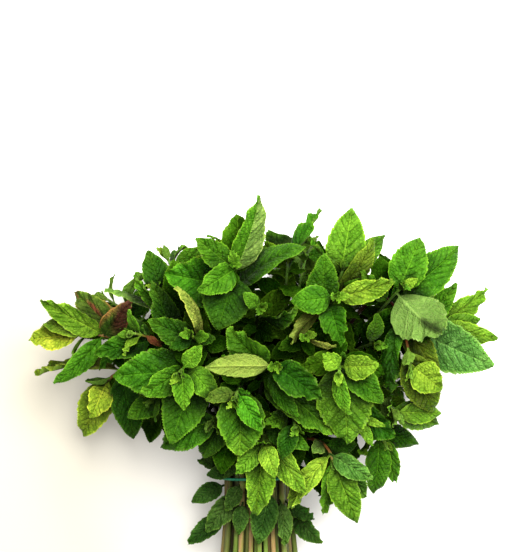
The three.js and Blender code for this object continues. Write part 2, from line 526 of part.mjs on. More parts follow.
// Places the leaves one by one, each in the first try that is clear of all that is there.
function growLeaves(stems, band) {
  const placed = [];
  for (const leaf of wantedLeaves(stems)) {
    const outline = leaf.length < 16 ? YOUNG : leaf.aim ? SHOWING : HIDDEN;
    const free = Math.min(0.3, Math.max(0.08, 2.6 / leaf.length));
    for (let attempt = 0; attempt < TRIES; attempt++) {
      const pose = leafPose(leaf, attempt);
      const blade = bladeMesh(pose, outline, BLADE);
      if (blade.steep) continue;
      const guard = guarded(bladeSolid(bladeMesh(pose, outline, BLADE + 2 * GAP)));
      const whole = guarded(bladeSolid(bladeMesh(pose, outline, BLADE + OWN_GAP)));
      const tail = guarded(bladeSolid(bladeMesh(pose, outline, BLADE + OWN_GAP, free)));
      const crossed =
        touches(guard, band) ||
        touches(tail, leaf.stem.plain) ||
        stems.some((stem) => stem !== leaf.stem && touches(guard, stem.guard)) ||
        placed.some((other) => other.leaf.stem !== leaf.stem && touches(guard, other.guard)) ||
        leaf.stem.leaves.some((other) => touches(tail, other.whole) || touches(whole, other.tail));
      if (crossed) {
        for (const { shape } of [guard, whole, tail]) shape.delete();
        continue;
      }
      const found = { leaf, pose, blade, guard, whole, tail };
      placed.push(found);
      leaf.stem.leaves.push(found);
      break;
    }
  }
  return placed;
}

// Pairs a blade's four root corners with the corners of the opening in its stem, turned to fit best.
function rootCorners({ leaf, pose, blade }, stemPoints) {
  const { ring, corner } = leaf;
  const next = (corner + 1) % 4;
  const hole = [4 * ring + corner, 4 * ring + next, 4 * ring + 4 + next, 4 * ring + 4 + corner];
  const { out, up } = leafFrame(pose, 0);
  const wishes = [[1, -1], [-1, -1], [-1, 1], [1, 1]].map(([x, y]) => blend(out, x, up, y));
  const fits = [0, 1, 2, 3].map((turn) =>
    wishes.reduce((sum, wish, n) => sum + vec(stemPoints[hole[(n + turn) % 4]]).sub(leaf.start).dot(wish), 0),
  );
  const turn = fits.indexOf(Math.max(...fits));
  return new Map(blade.root.map((point, n) => [point, hole[(n + turn) % 4]]));
}

// A stem with its leaves grown out of it, as one closed body.
function sprigMesh(stem) {
  const { points, faces } = stemMesh(stem.rings, 0, stem.leaves.map(({ leaf }) => [leaf.ring, leaf.corner]));
  for (const grown of stem.leaves) {
    const place = rootCorners(grown, points);
    grown.blade.points.forEach((point, n) => {
      if (!place.has(n)) place.set(n, points.push(point) - 1);
    });
    for (const face of grown.blade.faces) faces.push(face.map((n) => place.get(n)));
  }
  return { points, faces };
}

function toMesh(name, { points, faces }, finish) {
  const geometry = new THREE.BufferGeometry();
  geometry.setAttribute('position', new THREE.Float32BufferAttribute(points.flat(), 3));
  geometry.setIndex(faces.flat());
  geometry.computeVertexNormals();
  const mesh = new THREE.Mesh(geometry, new THREE.MeshStandardMaterial(finish));
  mesh.name = name;
  return mesh;
}

const bunch = new THREE.Group();
const stems = growStems();
const bandGuard = bandMesh(GAP);
growLeaves(stems, guarded(solid(bandGuard.points, bandGuard.faces)));
for (const stem of stems) bunch.add(toMesh(`sprig_${stem.sprig.name}`, sprigMesh(stem), LEAF_FINISH));
bunch.add(toMesh('band', bandMesh(), BAND_FINISH));

// The origin is under the middle of the bunch, on the surface that it lies on.
const middle = new THREE.Box3().setFromObject(bunch).getCenter(new THREE.Vector3());
for (const mesh of bunch.children) mesh.geometry.translate(-middle.x, -middle.y, 0);

export default bunch;
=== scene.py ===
# A bunch of fresh mint lying on a pale surface, seen from straight above.
# The scene is in metres. The growth rule works in millimetres from the middle of the band.
import math
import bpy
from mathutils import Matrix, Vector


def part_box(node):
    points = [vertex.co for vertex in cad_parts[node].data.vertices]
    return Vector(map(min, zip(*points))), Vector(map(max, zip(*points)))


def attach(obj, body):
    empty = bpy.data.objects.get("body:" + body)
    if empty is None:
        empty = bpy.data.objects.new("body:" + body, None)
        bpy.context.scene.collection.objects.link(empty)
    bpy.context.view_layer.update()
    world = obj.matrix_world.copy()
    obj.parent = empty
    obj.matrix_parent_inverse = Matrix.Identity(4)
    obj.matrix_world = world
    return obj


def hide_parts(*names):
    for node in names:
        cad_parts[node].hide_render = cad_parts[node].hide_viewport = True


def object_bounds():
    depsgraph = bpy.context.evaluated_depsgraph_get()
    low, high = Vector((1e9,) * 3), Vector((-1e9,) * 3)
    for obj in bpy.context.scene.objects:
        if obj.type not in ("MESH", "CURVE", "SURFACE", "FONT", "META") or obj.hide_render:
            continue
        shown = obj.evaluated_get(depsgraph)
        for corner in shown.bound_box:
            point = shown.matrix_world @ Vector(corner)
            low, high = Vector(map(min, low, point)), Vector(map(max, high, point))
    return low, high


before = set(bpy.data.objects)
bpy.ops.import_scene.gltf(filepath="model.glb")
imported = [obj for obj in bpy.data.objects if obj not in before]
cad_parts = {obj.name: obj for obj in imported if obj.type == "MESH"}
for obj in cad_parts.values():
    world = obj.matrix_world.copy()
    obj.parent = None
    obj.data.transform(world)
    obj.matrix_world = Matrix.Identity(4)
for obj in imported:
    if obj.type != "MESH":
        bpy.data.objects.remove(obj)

from types import SimpleNamespace as Values

import bpy
import numpy as np
from mathutils import Vector
from mathutils.bvhtree import BVHTree
from mathutils.kdtree import KDTree

MM = 1000  # millimetres in a metre
CAD_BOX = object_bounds()
BAND_LOW, BAND_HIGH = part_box("band")
SHIFT = np.array([(BAND_LOW.x + BAND_HIGH.x) * MM / 2, (BAND_LOW.y + BAND_HIGH.y) * MM / 2, 0])

# Sizes of the growth rule, the same as the solids have
BLADE = 0.7
FOOT_Y, UNEVEN_FOOT = -126, 4
TIE_Z = 40
HALF_FOOT, HALF_TIE, HALF_TIP = 1.9, 1.75, 0.85
NODE_HALF = 0.45
LONGEST_STEP = 30
BUNDLE_X, BUNDLE_Z = 24, 15
STEM_SPACING = 5.0
# A stem's place in the bundle starts from its tip and its way; then the stems push each other apart
START_X, START_Z, START_WAY, START_MIDDLE = 0.17, 0.16, 5, 66
PUSHES, PULL = 240, 0.3
SPREAD_X, SPREAD_Z = 1.9, 1.1
BAND_HALF, BAND_AWAY = 0.9, 1.7
TRIES, STEM_TRIES = 60, 160
STRAY = 45  # how far the handles of a stem's curve may stray
HANDLE, LOWEST_HANDLE = 0.4, 8
BARE = 22  # no pair of leaves is nearer the band than this
DROOP = (0, -0.22, -0.1)
LEAF_WIDTH = 0.54
YOUNG_LENGTH = 16
LOW_PAIR = 10  # pair numbers from here on are the rows of LOW_LEAVES
MATCH = 0.03  # how near a vertex of the solid a drawn point must be

# Leaf pairs from a stem's tip: distance back, share of the full leaf length, angle from the stem
PAIRS = [(1.2, 0.3, 24), (5, 0.52, 50), (14, 0.82, 68), (30, 1.0, 80), (52, 1.0, 84), (74, 0.95, 80)]
# A point on the outline of the solids' leaves: its shares of the length and of the width there
SHOWING, HIDDEN, YOUNG = (0.18, 0.98), (0.22, 1.0), (0.3, 1.02)


def aim_of(at, wide, look, turn=0, lean=0):
    return Values(at=at, wide=wide, look=look, turn=turn, lean=lean)


def read_sprigs(text):
    """Sprigs from lines of text. The lines that begin with a space hold the aimed leaves of a sprig."""
    sprigs = []
    for line in text.strip().splitlines():
        if line[0] != " ":
            name, *words = line.replace(",", "").split()
            numbers = [float(word) for word in words]
            leaf, roll, pairs = numbers[6:]
            aims = {}
            sprigs.append((name, numbers[:3], numbers[3:6], leaf, roll, int(pairs), aims))
            continue
        for row in line.strip(" ,").split(", "):
            mark, x, y, z, wide, look, *turns = row.split()
            at = (float(x), float(y), float(z))
            aims[mark] = aim_of(at, float(wide), look, *[float(turn) for turn in turns])
    return sprigs


# A sprig's name, tip, way, leaf length, roll and pairs, then its aimed leaves: pair and side,
# where its tip reaches, width for its length, look, turn and lean. What is left out at the end is 0.
SPRIGS = read_sprigs("""
low_right 45 14 100, 0.1 -0.98 0.1, 36 0 5
 00 60 -23 92 0.44 fresh, 01 40 -19 86 0.3 mid -20, 10 19 -15 86 0.32 lime 30,
 11 69 5 103 0.46 cool 0 1, 20 66 -9 82 0.48 cool, 21 32 21 106 0.6 pale
low_right_edge 78 24 74, 0.5 -0.85 0.1, 34 10 4
 10 72 -9 62 0.42 mid, 11 87 0 60 0.44 bright, 20 100 22 62 0.42 mid
low_centre 3 26 110, 0 -0.9 0.4, 38 0 4
 00 -13 9 114 0.56 lime, 10 -2 -19 88 0.36 bright -15 -1, 20 28 -7 98 0.34 lime 0 -1,
 21 30 24 112 0.4 mid -25, 01 10 8 121 0.5 lime
right_front 61 41 112, 0.4 -0.6 0.7, 30 45 4
 00 75 38 118 0.3 lime, 01 68 26 114 0.36 lime, 20 82 30 104 0.6 deep
right_centre 47 71 138, 0.1 -0.2 0.97, 34 0 5
 00 38 82 142 0.8 bright, 10 70 75 140 0.66 fresh, 20 73 52 128 0.5 dark,
 11 54 46 134 0.36 bright 40, 21 58 32 122 0.66 fresh, 31 30 94 112 0.5 deep
left_drop -28 40 106, -0.7 -0.6 0.35, 38 0 4
 10 -59 23 94 0.5 mid, 21 -34 16 88 0.5 dark
far_left_low -97 58 48, -0.6 -0.8 0, 38 40 5
 00 -104 38 58 0.7 lemon, 10 -112 24 32 0.5 lemon 10 -1, 21 -142 65 38 0.24 olive 60,
 20 -78 24 48 0.48 deep
centre_low -13 56 132, -0.1 -0.45 0.88, 36 15 5
 10 2 36 130 0.5 mid, 11 -31 54 128 0.5 dull 20, 20 -11 20 118 0.72 tipped,
 21 -18 82 134 0.5 mid
centre_fan 10 75 134, 0.2 0.1 0.97, 36 0 5
 10 -31 74 140 0.34 cream 170, 11 37 55 136 0.6 deep, 20 23 44 130 0.36 mid 20,
 21 -22 92 120 0.62 dark, 30 45 32 116 0.46 dark, 31 -4 58 124 0.55 dark
crown_left -14 133 112, 0 0.25 0.97, 40 90 5
 10 -37 149 112 0.55 dark, 11 -35 117 122 0.6 mid, 20 2 175 104 0.44 folded 35,
 21 -24 95 114 0.8 dark, 30 26 142 96 0.42 mid -60, 31 -56 128 98 0.75 mid 10
upper_centre 46 115 124, 0.2 0.2 0.95, 34 0 5
 10 19 112 126 0.62 mid, 11 81 124 116 0.4 fresh 20, 20 49 86 128 0.56 mid,
 21 20 88 132 0.24 cream 165, 31 40 140 110 0.5 mid
right_arc 91 70 112, 0.1 -0.9 0.4, 34 30 5
 00 109 59 114 0.9 fresh, 21 76 50 100 0.3 dark 50, 11 106 44 92 0.5 olive 0 -1,
 20 109 66 96 0.4 olive 0 -1
right_low 84 44 100, 0.75 -0.5 0.4, 32 0 5
 00 112 43 84 0.42 lime, 10 112 36 76 0.44 lime
far_left_high -113 90 52, -1 -0.05 0, 36 0 5
 00 -144 87 52 0.6 yellow 20, 11 -134 97 58 0.5 olive 30, 20 -128 58 56 0.34 mid -40,
 21 -136 111 62 0.36 olive -10, 31 -118 117 22 0.36 rusty -10 -1, 30 -98 68 66 0.4 mid 20 1
left_shoulder -62 118 78, -0.5 0.6 0.6, 34 20 5
 11 -67 143 74 0.6 deep 10, 20 -77 126 82 0.36 mid -35, 31 -95 119 62 0.24 pale 70,
 30 -52 136 84 0.55 mid
left_upper -40 92 116, -0.3 0.3 0.9, 36 10 5
 20 -48 121 120 0.3 cream 62, 21 -66 100 108 0.5 deep, 11 -52 84 118 0.55 deep
left_rosette -46 70 126, -0.2 -0.35 0.9, 33 30 5
 10 -43 48 128 0.55 mid, 11 -33 86 128 0.55 bright, 20 -70 56 118 0.55 mid -30,
 21 -26 50 122 0.5 bright, 30 -52 27 112 0.56 dark, 31 -84 69 104 0.6 mid
left_mid -76 92 90, -0.75 0.15 0.6, 33 0 5
 30 -74 113 72 0.4 deep, 20 -96 82 88 0.46 dark
left_low -64 52 94, -0.7 -0.5 0.5, 33 20 5
 20 -80 40 84 0.5 mid, 21 -76 60 92 0.5 mid 10
centre_rosette 2 108 116, 0.1 0.2 0.97, 32 45 5
 20 16 100 120 0.4 deep 40, 30 10 90 112 0.5 deep
crown_right 51 131 96, 0.2 0.9 0.4, 36 0 5
 10 57 168 92 0.56 bright, 11 81 153 76 0.38 bright 0 -1, 20 70 149 100 0.38 olive 30,
 21 38 160 88 0.3 mid 60
crown_middle 18 136 92, 0.05 0.95 0.3, 34 90 5
 10 38 168 80 0.28 mid -50, 11 10 154 84 0.46 bright, 20 30 155 80 0.34 bright 40 -1
right_upper 86 120 104, 0.4 0.5 0.75, 38 20 5
 10 98 150 98 0.6 mid, 11 108 92 124 0.76 grey 172, 20 118 140 84 0.42 mid 30,
 21 66 134 104 0.42 mid 10
far_right 114 95 70, 0.95 0.05 0.1, 38 0 5
 00 137 100 72 0.5 lime, 10 144 119 58 0.34 bright 20 -1, 11 141 81 66 0.36 lime -20,
 21 139 68 88 0.56 blue 0 1, 20 122 122 78 0.4 mid
centre_mid 28 92 122, 0.1 0.1 0.98, 34 20 5
 10 46 85 126 0.26 cream 60, 20 49 100 106 0.5 mid, 21 12 84 122 0.5 deep
right_shade 70 86 98, 0.4 0.1 0.9, 40 0 5
 21 84 108 96 0.46 deep, 10 70 60 88 0.4 deep
low_middle 22 38 118, 0.1 -0.5 0.85, 34 20 5
 10 14 18 116 0.5 deep, 11 38 26 118 0.5 deep, 20 4 40 122 0.5 mid
under_left_high -98 112 17, -0.8 0.5 -0.1, 36 0 6
 20 -120 88 -6 0.5 by_age 180
under_left_top -58 138 26, -0.4 0.9 0, 38 30 5
 20 -34 142 -6 0.5 by_age 180
under_top_left -16 150 36, -0.05 1 0, 38 0 5
under_top_right 32 146 20, 0.2 1 -0.05, 38 40 5
 20 58 136 -6 0.5 by_age 180, 21 12 160 -6 0.5 by_age 180
under_right_top 78 128 34, 0.6 0.8 0, 38 10 5
under_right_high 110 100 17, 1 0.2 -0.05, 36 0 6
 20 126 74 -6 0.5 by_age 180
under_right_low 96 52 17, 0.9 -0.4 -0.05, 34 20 6
 20 86 20 -6 0.5 by_age 180
under_left_low -84 46 17, -0.9 -0.4 -0.05, 34 0 6
 20 -70 18 -6 0.5 by_age 180, 31 -84 74 -6 0.5 by_age 180
under_middle_left -46 96 6, -0.3 0.6 -0.1, 36 0 5
 10 -30 78 -5 0.5 by_age 180, 21 -64 78 -6 0.5 by_age 180
under_middle_right 44 96 6, 0.3 0.6 -0.1, 36 0 5
 10 30 78 -5 0.5 by_age 180, 21 64 78 -6 0.5 by_age 180
""")
# Leaves near the band: sprig, place on its stem, which is below the band where it is less than 0,
# where the leaf's tip reaches, width for its length, turn and lean
LOW_LEAVES = [
    ("far_left_high", -6, (-42, -16, 44), 0.5, 10),
    ("far_left_high", -24, (-45, -44, 34), 0.42, 10, 1),
    ("left_low", -10, (-33, -34, 54), 0.5),
    ("left_rosette", -4, (-20, -20, 60), 0.55),
    ("left_rosette", -15, (-12, -34, 62), 0.5),
    ("right_centre", -8, (0, -40, 62), 0.48),
    ("right_arc", -14, (15, -44, 60), 0.4),
    ("right_low", -15, (35, -26, 54), 0.5, 20),
    ("far_right", -24, (34, -48, 42), 0.5),
    ("left_low", 10, (-33, 1, 58), 0.55),
    ("far_left_low", 9, (-38, 11, 52), 0.5),
    ("left_rosette", 14, (-22, 0, 64), 0.55),
]

BOWS = {"right_arc": 1}  # the share of its reach over which a stem turns into its way

# Base colours of the leaves. deep is the colour of old leaves and, on leaves set in the dark hollows of the
# head, also painted shade; blue is partly painted sheen.
TONES = {
    "lime": (0.080, 0.180, 0.009),
    "bright": (0.054, 0.150, 0.006),
    "mid": (0.028, 0.102, 0.003),
    "dark": (0.018, 0.070, 0.002),
    "cool": (0.036, 0.108, 0.013),
    "deep": (0.010, 0.046, 0.0015),
    "blue": (0.062, 0.160, 0.026),
    "olive": (0.064, 0.112, 0.006),
    "dull": (0.034, 0.070, 0.006),
    "cream": (0.16, 0.19, 0.026),
    "pale": (0.085, 0.155, 0.024),
    "grey": (0.088, 0.150, 0.034),
    "low": (0.028, 0.078, 0.010),
    "brown": (0.035, 0.014, 0.006),
    "rust": (0.24, 0.085, 0.030),
    "yellow": (0.13, 0.195, 0.010),
    "lemon": (0.15, 0.25, 0.014),
    "fresh": (0.056, 0.128, 0.006),
}
AGES = ["lime", "bright", "mid", "deep"]
PAIR_AGES = [0.1, 0.8, 1.5, 2.1, 2.5, 2.8]
LIME_PAIR = ("left_rosette", 0)  # a pair without an aim that is lime at any age
# Looks with marks of their own, and the colours that they start from
MARKED = {"tipped": "dark", "folded": "mid", "rusty": "dull", "withered": "dull"}
# Seen leaves that the solids do not have: sprig, distance back from its tip, aim, width, look
EXTRAS = [
    ("far_left_high", 15, (-78, 111, 84), 0.36, "withered"),
    ("left_mid", 9, (-58, 84, 92), 0.3, "rust"),
    ("crown_left", 19, (-16, 160, 80), 0.6, "mid"),
]
# How red the upper part of a stem is, from 0 to 1
RED_STEMS = {"far_left_high": 0.9, "far_left_low": 0.8, "right_arc": 1.0, "low_right": 0.7, "left_mid": 0.5}

VEINS = 8  # pairs of side veins in a leaf
FULL_LEAF = 34  # from this length on, the waves and the relief of a leaf are full
STALK, STALK_HALF = 2.2, 0.75
# Rows of points along a leaf, and their shares across half of it
FINE = (48, [0, 0.07, 0.24, 0.43, 0.62, 0.82, 1])
USUAL = (30, [0, 0.09, 0.35, 0.62, 0.84, 1])
SMALL = (24, [0, 0.09, 0.35, 0.62, 0.84, 1])
PLAIN = (18, [0, 0.12, 0.45, 0.75, 1])
# Small leaves between the pairs: distances back from a stem's tip
SIDE_BACKS = [9.5, 22, 27, 38, 45, 60, 67, 82, 90, 98, 108, 118, 130]
STEM_SIDES = 12
BAND_STEPS, BAND_CORNERS = 120, 12

# The head, as an ellipsoid for its painted shade and as ellipses seen from above
HEAD_MIDDLE, HEAD_HALF = (16, 84, 66), (112, 88, 76)
HEAD_Y, HEAD_HALF_Y = 84, 66
RIM_X, RIM_HALF = 16, 92
GAP_X, GAP_HALF = 8, 106
EYE = (0, 127, 1200)  # high over the middle of the bunch
# Leaves that fill gaps: the grid of places looked at, then how far from such a place their starts are,
# seen from above, how high, and how many starts are tried, of which the first have wide leaves
GAP_COLUMNS, GAP_ROWS = range(-104, 120, 3), range(2, 146, 3)
NEAREST_START, FARTHEST_START, HIGHEST_START = 5, 55, 95
STARTS, WIDE_STARTS = 48, 24
GAP_WIDE, GAP_NARROW = 0.6, 0.36
# Ways that the light comes from, and how much of it, for the shade painted into the colours
SKY = [(Vector((0.1, 0.2, 1)), 0.3), (Vector((0.5, 0.75, 1)), 0.3), (Vector((-0.7, 0.1, 1)), 0.15),
       (Vector((0.8, -0.3, 1)), 0.1), (Vector((0, -0.8, 1)), 0.15)]
SKY_REACH = 80  # a leaf farther up than this takes no light
# Where a leaf's light is found: shares of its length, and of half its width
SKY_S, SKY_T = np.linspace(0.08, 1, 6), np.linspace(-0.9, 0.9, 5)
# Leaves with less light than this take the copy of the leaf material without reflection, as they lie in deep
# painted shade.
INNER = 0.42  # a leaf with less light than this has the inner material


def vec(*values):
    return np.array(values, float)


def cross(a, b):
    return vec(a[1] * b[2] - a[2] * b[1], a[2] * b[0] - a[0] * b[2], a[0] * b[1] - a[1] * b[0])


def unit(v):
    return v / math.sqrt(v @ v)


def turned(v, axis, angle):
    c, s = math.cos(angle), math.sin(angle)
    return v * c + cross(axis, v) * s + axis * ((axis @ v) * (1 - c))


def chance(*keys):
    """A number from 0 to 1 that depends only on its keys."""
    state = 20261
    for key in (*keys, 3, 5, 7):
        state = ((state + key) * 1664525 + 1013904223) % 4294967296
    return state / 4294967296


def sway(*keys):
    return 2 * chance(*keys) - 1


def bundle_places():
    """Pushes the stems apart inside the band, so that each has its own place in the bundle."""
    places = []
    for _, tip, way, *_ in SPRIGS:
        places.append([tip[0] * START_X, (tip[2] - START_MIDDLE) * START_Z - way[1] * START_WAY])
    for _ in range(PUSHES):
        for i, a in enumerate(places):
            for b in places[i + 1:]:
                dx, dz = b[0] - a[0], b[1] - a[1]
                apart = math.sqrt(dx * dx + dz * dz) + 1e-6
                if apart >= STEM_SPACING:
                    continue
                push = (STEM_SPACING - apart) / 2 / apart
                a[0] -= dx * push
                a[1] -= dz * push
                b[0] += dx * push
                b[1] += dz * push
        for place in places:
            x, z = place[0] / BUNDLE_X, place[1] / BUNDLE_Z
            pull = 1 + (max(1, math.sqrt(x * x + z * z)) - 1) * PULL
            place[0] /= pull
            place[1] /= pull
    return places


class Stem:
    """The line of a stem for one try. q runs from -1 at the cut end through 0 at the band to 1 at the tip."""

    def __init__(self, number, place, lowest, attempt):
        self.name, tip, way, self.leaf, self.roll, self.pairs, self.aims = SPRIGS[number]
        self.number = number
        tip, way = vec(*tip), unit(vec(*way))
        stray = [sway(number, attempt, n) * STRAY * attempt / STEM_TRIES for n in range(1, 6)]
        self.band = vec(place[0], 0, TIE_Z + place[1])
        self.foot = vec(
            place[0] * SPREAD_X,
            FOOT_Y - UNEVEN_FOOT * chance(number, 77),
            HALF_FOOT + (place[1] - lowest) * SPREAD_Z,
        )
        self.reach = math.sqrt((tip - self.band) @ (tip - self.band))
        first = self.band + vec(place[0] * 0.02, 1, place[1] * 0.02) * (self.reach * HANDLE)
        last = tip - way * (self.reach * BOWS.get(self.name, HANDLE))
        first += vec(stray[0], 0, stray[1])
        last += vec(*stray[2:])
        last[2] = max(last[2], LOWEST_HANDLE)
        self.curve = (self.band, first, last, tip)
        turn = cross(vec(0, 1, 0), way)
        self.turn = turn if math.sqrt(turn @ turn) >= 0.2 else vec(0, 0, 1)
        self.depth = -self.foot[1]
        self.nodes = self.find_nodes()
        self.place_rings()

    def bezier(self, t):
        a, b, c, d = self.curve
        k = 1 - t
        return a * k**3 + b * (3 * k * k * t) + c * (3 * k * t * t) + d * t**3

    def point(self, q):
        if q >= 0:
            return self.bezier(q)
        a, b = self.band, self.foot
        return vec(a[0] + (b[0] - a[0]) * q * q, b[1] * -q, a[2] + (b[2] - a[2]) * q * q)

    def along(self, q):
        if q > 0:
            return unit(self.bezier(min(1, q + 0.0001)) - self.bezier(max(0, q - 0.0001)))
        gap = self.foot - self.band
        return unit(vec(2 * q * gap[0], -gap[1], 2 * q * gap[2]))

    def ring(self, q):
        """The square section at q; half is the distance from its middle to a corner."""
        along = self.along(q)
        across = unit(cross(self.turn, along))
        up = cross(along, across)
        c, s = math.cos(math.radians(self.roll)), math.sin(math.radians(self.roll))
        half = HALF_TIE + ((HALF_FOOT - HALF_TIE) * -q if q < 0 else (HALF_TIP - HALF_TIE) * q)
        return Values(at=self.point(q), along=along, across=across * c + up * s,
                      up=up * c - across * s, half=half)

    def find_nodes(self):
        nodes = []
        for n, low in enumerate(LOW_LEAVES):
            if low[0] == self.name:
                nodes.append(Values(q=low[1] / self.depth, pair=LOW_PAIR + n, step=NODE_HALF / self.depth))
        for pair, (back, _, _) in enumerate(PAIRS[: self.pairs]):
            if back < self.reach - BARE:
                nodes.append(Values(q=1 - back / self.reach, pair=pair, step=NODE_HALF / self.reach))
        return sorted(nodes, key=lambda node: node.q)

    def place_rings(self):
        places = [-1, -0.66, -0.33, 0, 1]
        for node in self.nodes:
            places += [node.q - node.step, node.q + node.step]
        places.sort()
        kept = []
        for q in places:
            if kept and q > 0 and (q - kept[-1]) * self.reach > LONGEST_STEP:
                kept.append((q + kept[-1]) / 2)
            kept.append(q)
        self.kept = kept
        for node in self.nodes:
            node.ring = kept.index(node.q - node.step)


def ring_corner(ring, c):
    angle = math.radians(45 + 90 * c)
    point = ring.across * (math.cos(angle) * ring.half) + ring.up * (math.sin(angle) * ring.half)
    point = point + ring.at
    point[2] = max(point[2], 0)
    return point


def side_way(ring, c):
    """The way from the middle of a section to the middle of a side."""
    angle = math.radians(90 + 90 * c)
    return ring.across * math.cos(angle) + ring.up * math.sin(angle)


def node_sides(pair, ring, aims):
    """The sides that a pair grows on: an aimed leaf on the one that faces its aim most."""
    first = pair % 2 if pair < LOW_PAIR else 0
    sides = [first, first + 2]
    taken = []
    for n, aim in enumerate(aims):
        if not aim:
            continue
        goal = unit(vec(*aim.at) - ring.at)
        goal[2] += aim.lean
        free = [c for c in range(4) if c not in taken]
        free.sort(key=lambda c: -(side_way(ring, c) @ goal))
        sides[n] = free[0]
        taken.append(free[0])
    if aims[0] and not aims[1]:
        sides[1] = (sides[0] + 2) % 4
    if aims[1] and not aims[0]:
        sides[0] = (sides[1] + 2) % 4
    return sides


def leaf_on(ring, corner, off, keys, length, spread, wide, aim=None):
    """A leaf that starts off mm from the middle of a ring, on one of its sides."""
    out = side_way(ring, corner)
    return Values(keys=keys, start=ring.at + out * off, out=out, along=ring.along,
                  aim=aim, spread=spread, length=length, wide=wide)


def wanted_leaves(stem):
    """Every leaf that a stem may carry, before it is known which ones had room."""
    leaves = []
    for node in stem.nodes:
        pair = node.pair
        aims = [stem.aims.get(f"{pair}{side}") for side in (0, 1)]
        if pair < LOW_PAIR:
            share, spread = PAIRS[pair][1:]
        else:
            share, spread = 1, 70
            _, _, at, wide, *turns = LOW_LEAVES[pair - LOW_PAIR]
            aims[0] = aim_of(at, wide, "low", *turns)
        ring, above = stem.ring(stem.kept[node.ring]), stem.ring(stem.kept[node.ring + 1])
        ring.at = (ring.at + above.at) / 2
        off = ring.half * math.sqrt(0.5)
        for side, corner in enumerate(node_sides(pair, ring, aims)):
            if side == 0 or pair < LOW_PAIR:
                keys, length = (stem.number, pair, side), share * stem.leaf
                leaves.append(leaf_on(ring, corner, off, keys, length, spread, LEAF_WIDTH, aims[side]))
    return leaves


def leaf_pose(leaf, attempt):
    """Where a leaf starts and points, which way its upper side faces, and how it bends, folds and twists."""
    keys = (*leaf.keys, attempt)
    loose = min(1, attempt / 16)
    usual = 16 if leaf.length < YOUNG_LENGTH else 36
    bend = math.radians(usual + 24 * sway(*keys, 1) + 20 * loose * sway(*keys, 2)) + 0.03
    fold = math.radians(15 + 10 * sway(*keys, 3))
    twist = math.radians((10 + 26 * loose) * sway(*keys, 4))
    length = leaf.length * (1 + 0.1 * sway(*keys, 5)) * (1 - 0.35 * loose * chance(*keys, 6))
    wide = leaf.wide * (1 - 0.15 * loose * chance(*keys, 9))
    aim = leaf.aim
    if aim:
        stray = 18 * loose
        way = vec(sway(*keys, 7) * stray, sway(*keys, 8) * stray, sway(*keys, 10) * stray)
        way = way + vec(*aim.at) - leaf.start
        length = math.sqrt(way @ way) * bend / 2 / math.sin(bend / 2)
        way = unit(way)
        face = unit(vec(0, 0, 1) - way * way[2])
        face = turned(face, way, math.radians(aim.turn + (8 + 24 * loose) * sway(*keys, 11)))
        wide = aim.wide
    else:
        out = turned(leaf.out, leaf.along, math.radians((10 + 36 * loose) * sway(*keys, 7)))
        spread = math.radians(leaf.spread + (9 + 38 * loose) * sway(*keys, 8))
        way = unit(leaf.along * math.cos(spread) + out * math.sin(spread) + vec(*DROOP))
        face = leaf.along * math.sin(spread) - out * math.cos(spread)
        face = unit(face - way * (face @ way))
    return Values(start=leaf.start, way=way, face=face, across=cross(way, face), length=length,
                  half=length * wide / 2, bend=bend, fold=fold, twist=twist)


def leaf_width(s):
    """A solid leaf's width at a share s of its length, as a share of its greatest width."""
    s = np.clip(s, 0, 1)
    return s**0.62 * (1 - s) ** 0.95 / 0.3488


def fine_width(s):
    """The same for a fine leaf, which is a little fuller towards its tip."""
    s = np.clip(s, 0, 1)
    return s**0.62 * (1 - s) ** 0.92 / 0.3543


def leaf_frame(pose, s):
    """The leaf's line and frame at shares s of its length."""
    s = np.atleast_1d(np.asarray(s, float))
    bend = pose.bend
    lean = bend * (0.5 - s)
    radius = pose.length / bend
    at = pose.start + np.outer(radius * (math.sin(bend / 2) - np.sin(lean)), pose.way)
    at = at + np.outer(radius * (np.cos(lean) - math.cos(bend / 2)), pose.face)
    normal = np.outer(np.cos(lean), pose.face) - np.outer(np.sin(lean), pose.way)
    c, z = np.cos(pose.twist * s)[:, None], np.sin(pose.twist * s)[:, None]
    return at, pose.across * c + normal * z, normal * c - pose.across * z


def folded(pose, s, r, soft=1e-9):
    """Points of the folded blade, and the ways that its upper side faces; soft rounds the fold."""
    at, out, up = leaf_frame(pose, s)
    c, z = math.cos(pose.fold), math.sin(pose.fold)
    root = np.sqrt(r**2 + soft**2)
    middle = at + out * (r * c)[:, None] + up * ((root - soft) * z)[:, None]
    tilt = up * c - out * (r / root * z)[:, None]
    return middle, tilt / np.linalg.norm(tilt, axis=1)[:, None]


def solid_point(pose, s, r):
    """The upper point of the solid's blade, r mm beside the midrib at a share s of its length."""
    at, out, up = (v[0] for v in leaf_frame(pose, s))
    c, z = math.cos(pose.fold), math.sin(pose.fold)
    sign = (r > 0) - (r < 0)
    middle = at + out * (r * c) + up * (abs(r) * z)
    tilt = up * c - out * (sign * z)
    if middle[2] < BLADE / 2:
        above = 1 if tilt[2] >= 0 else -1
        return vec(middle[0], middle[1], BLADE / 2 + above * BLADE / 2)
    point = middle + tilt * (BLADE / 2)
    point[2] = max(point[2], 0)
    return point


def node_tree(name):
    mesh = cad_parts[name].data
    tree = KDTree(len(mesh.vertices))
    for vertex in mesh.vertices:
        tree.insert(Vector(np.array(vertex.co) * MM - SHIFT), vertex.index)
    tree.balance()
    return tree


def on_solid(tree, point):
    return tree.find(Vector(point))[2] < MATCH


def find_stem(number, place, lowest, tree):
    """The try of a stem's line that its solid was made from."""
    for attempt in range(STEM_TRIES):
        stem = Stem(number, place, lowest, attempt)
        rings = [stem.ring(stem.kept[-1]), stem.ring(stem.kept[len(stem.kept) // 2 + 1])]
        if all(on_solid(tree, ring_corner(ring, c)) for ring in rings for c in (0, 2)):
            return stem
    return None


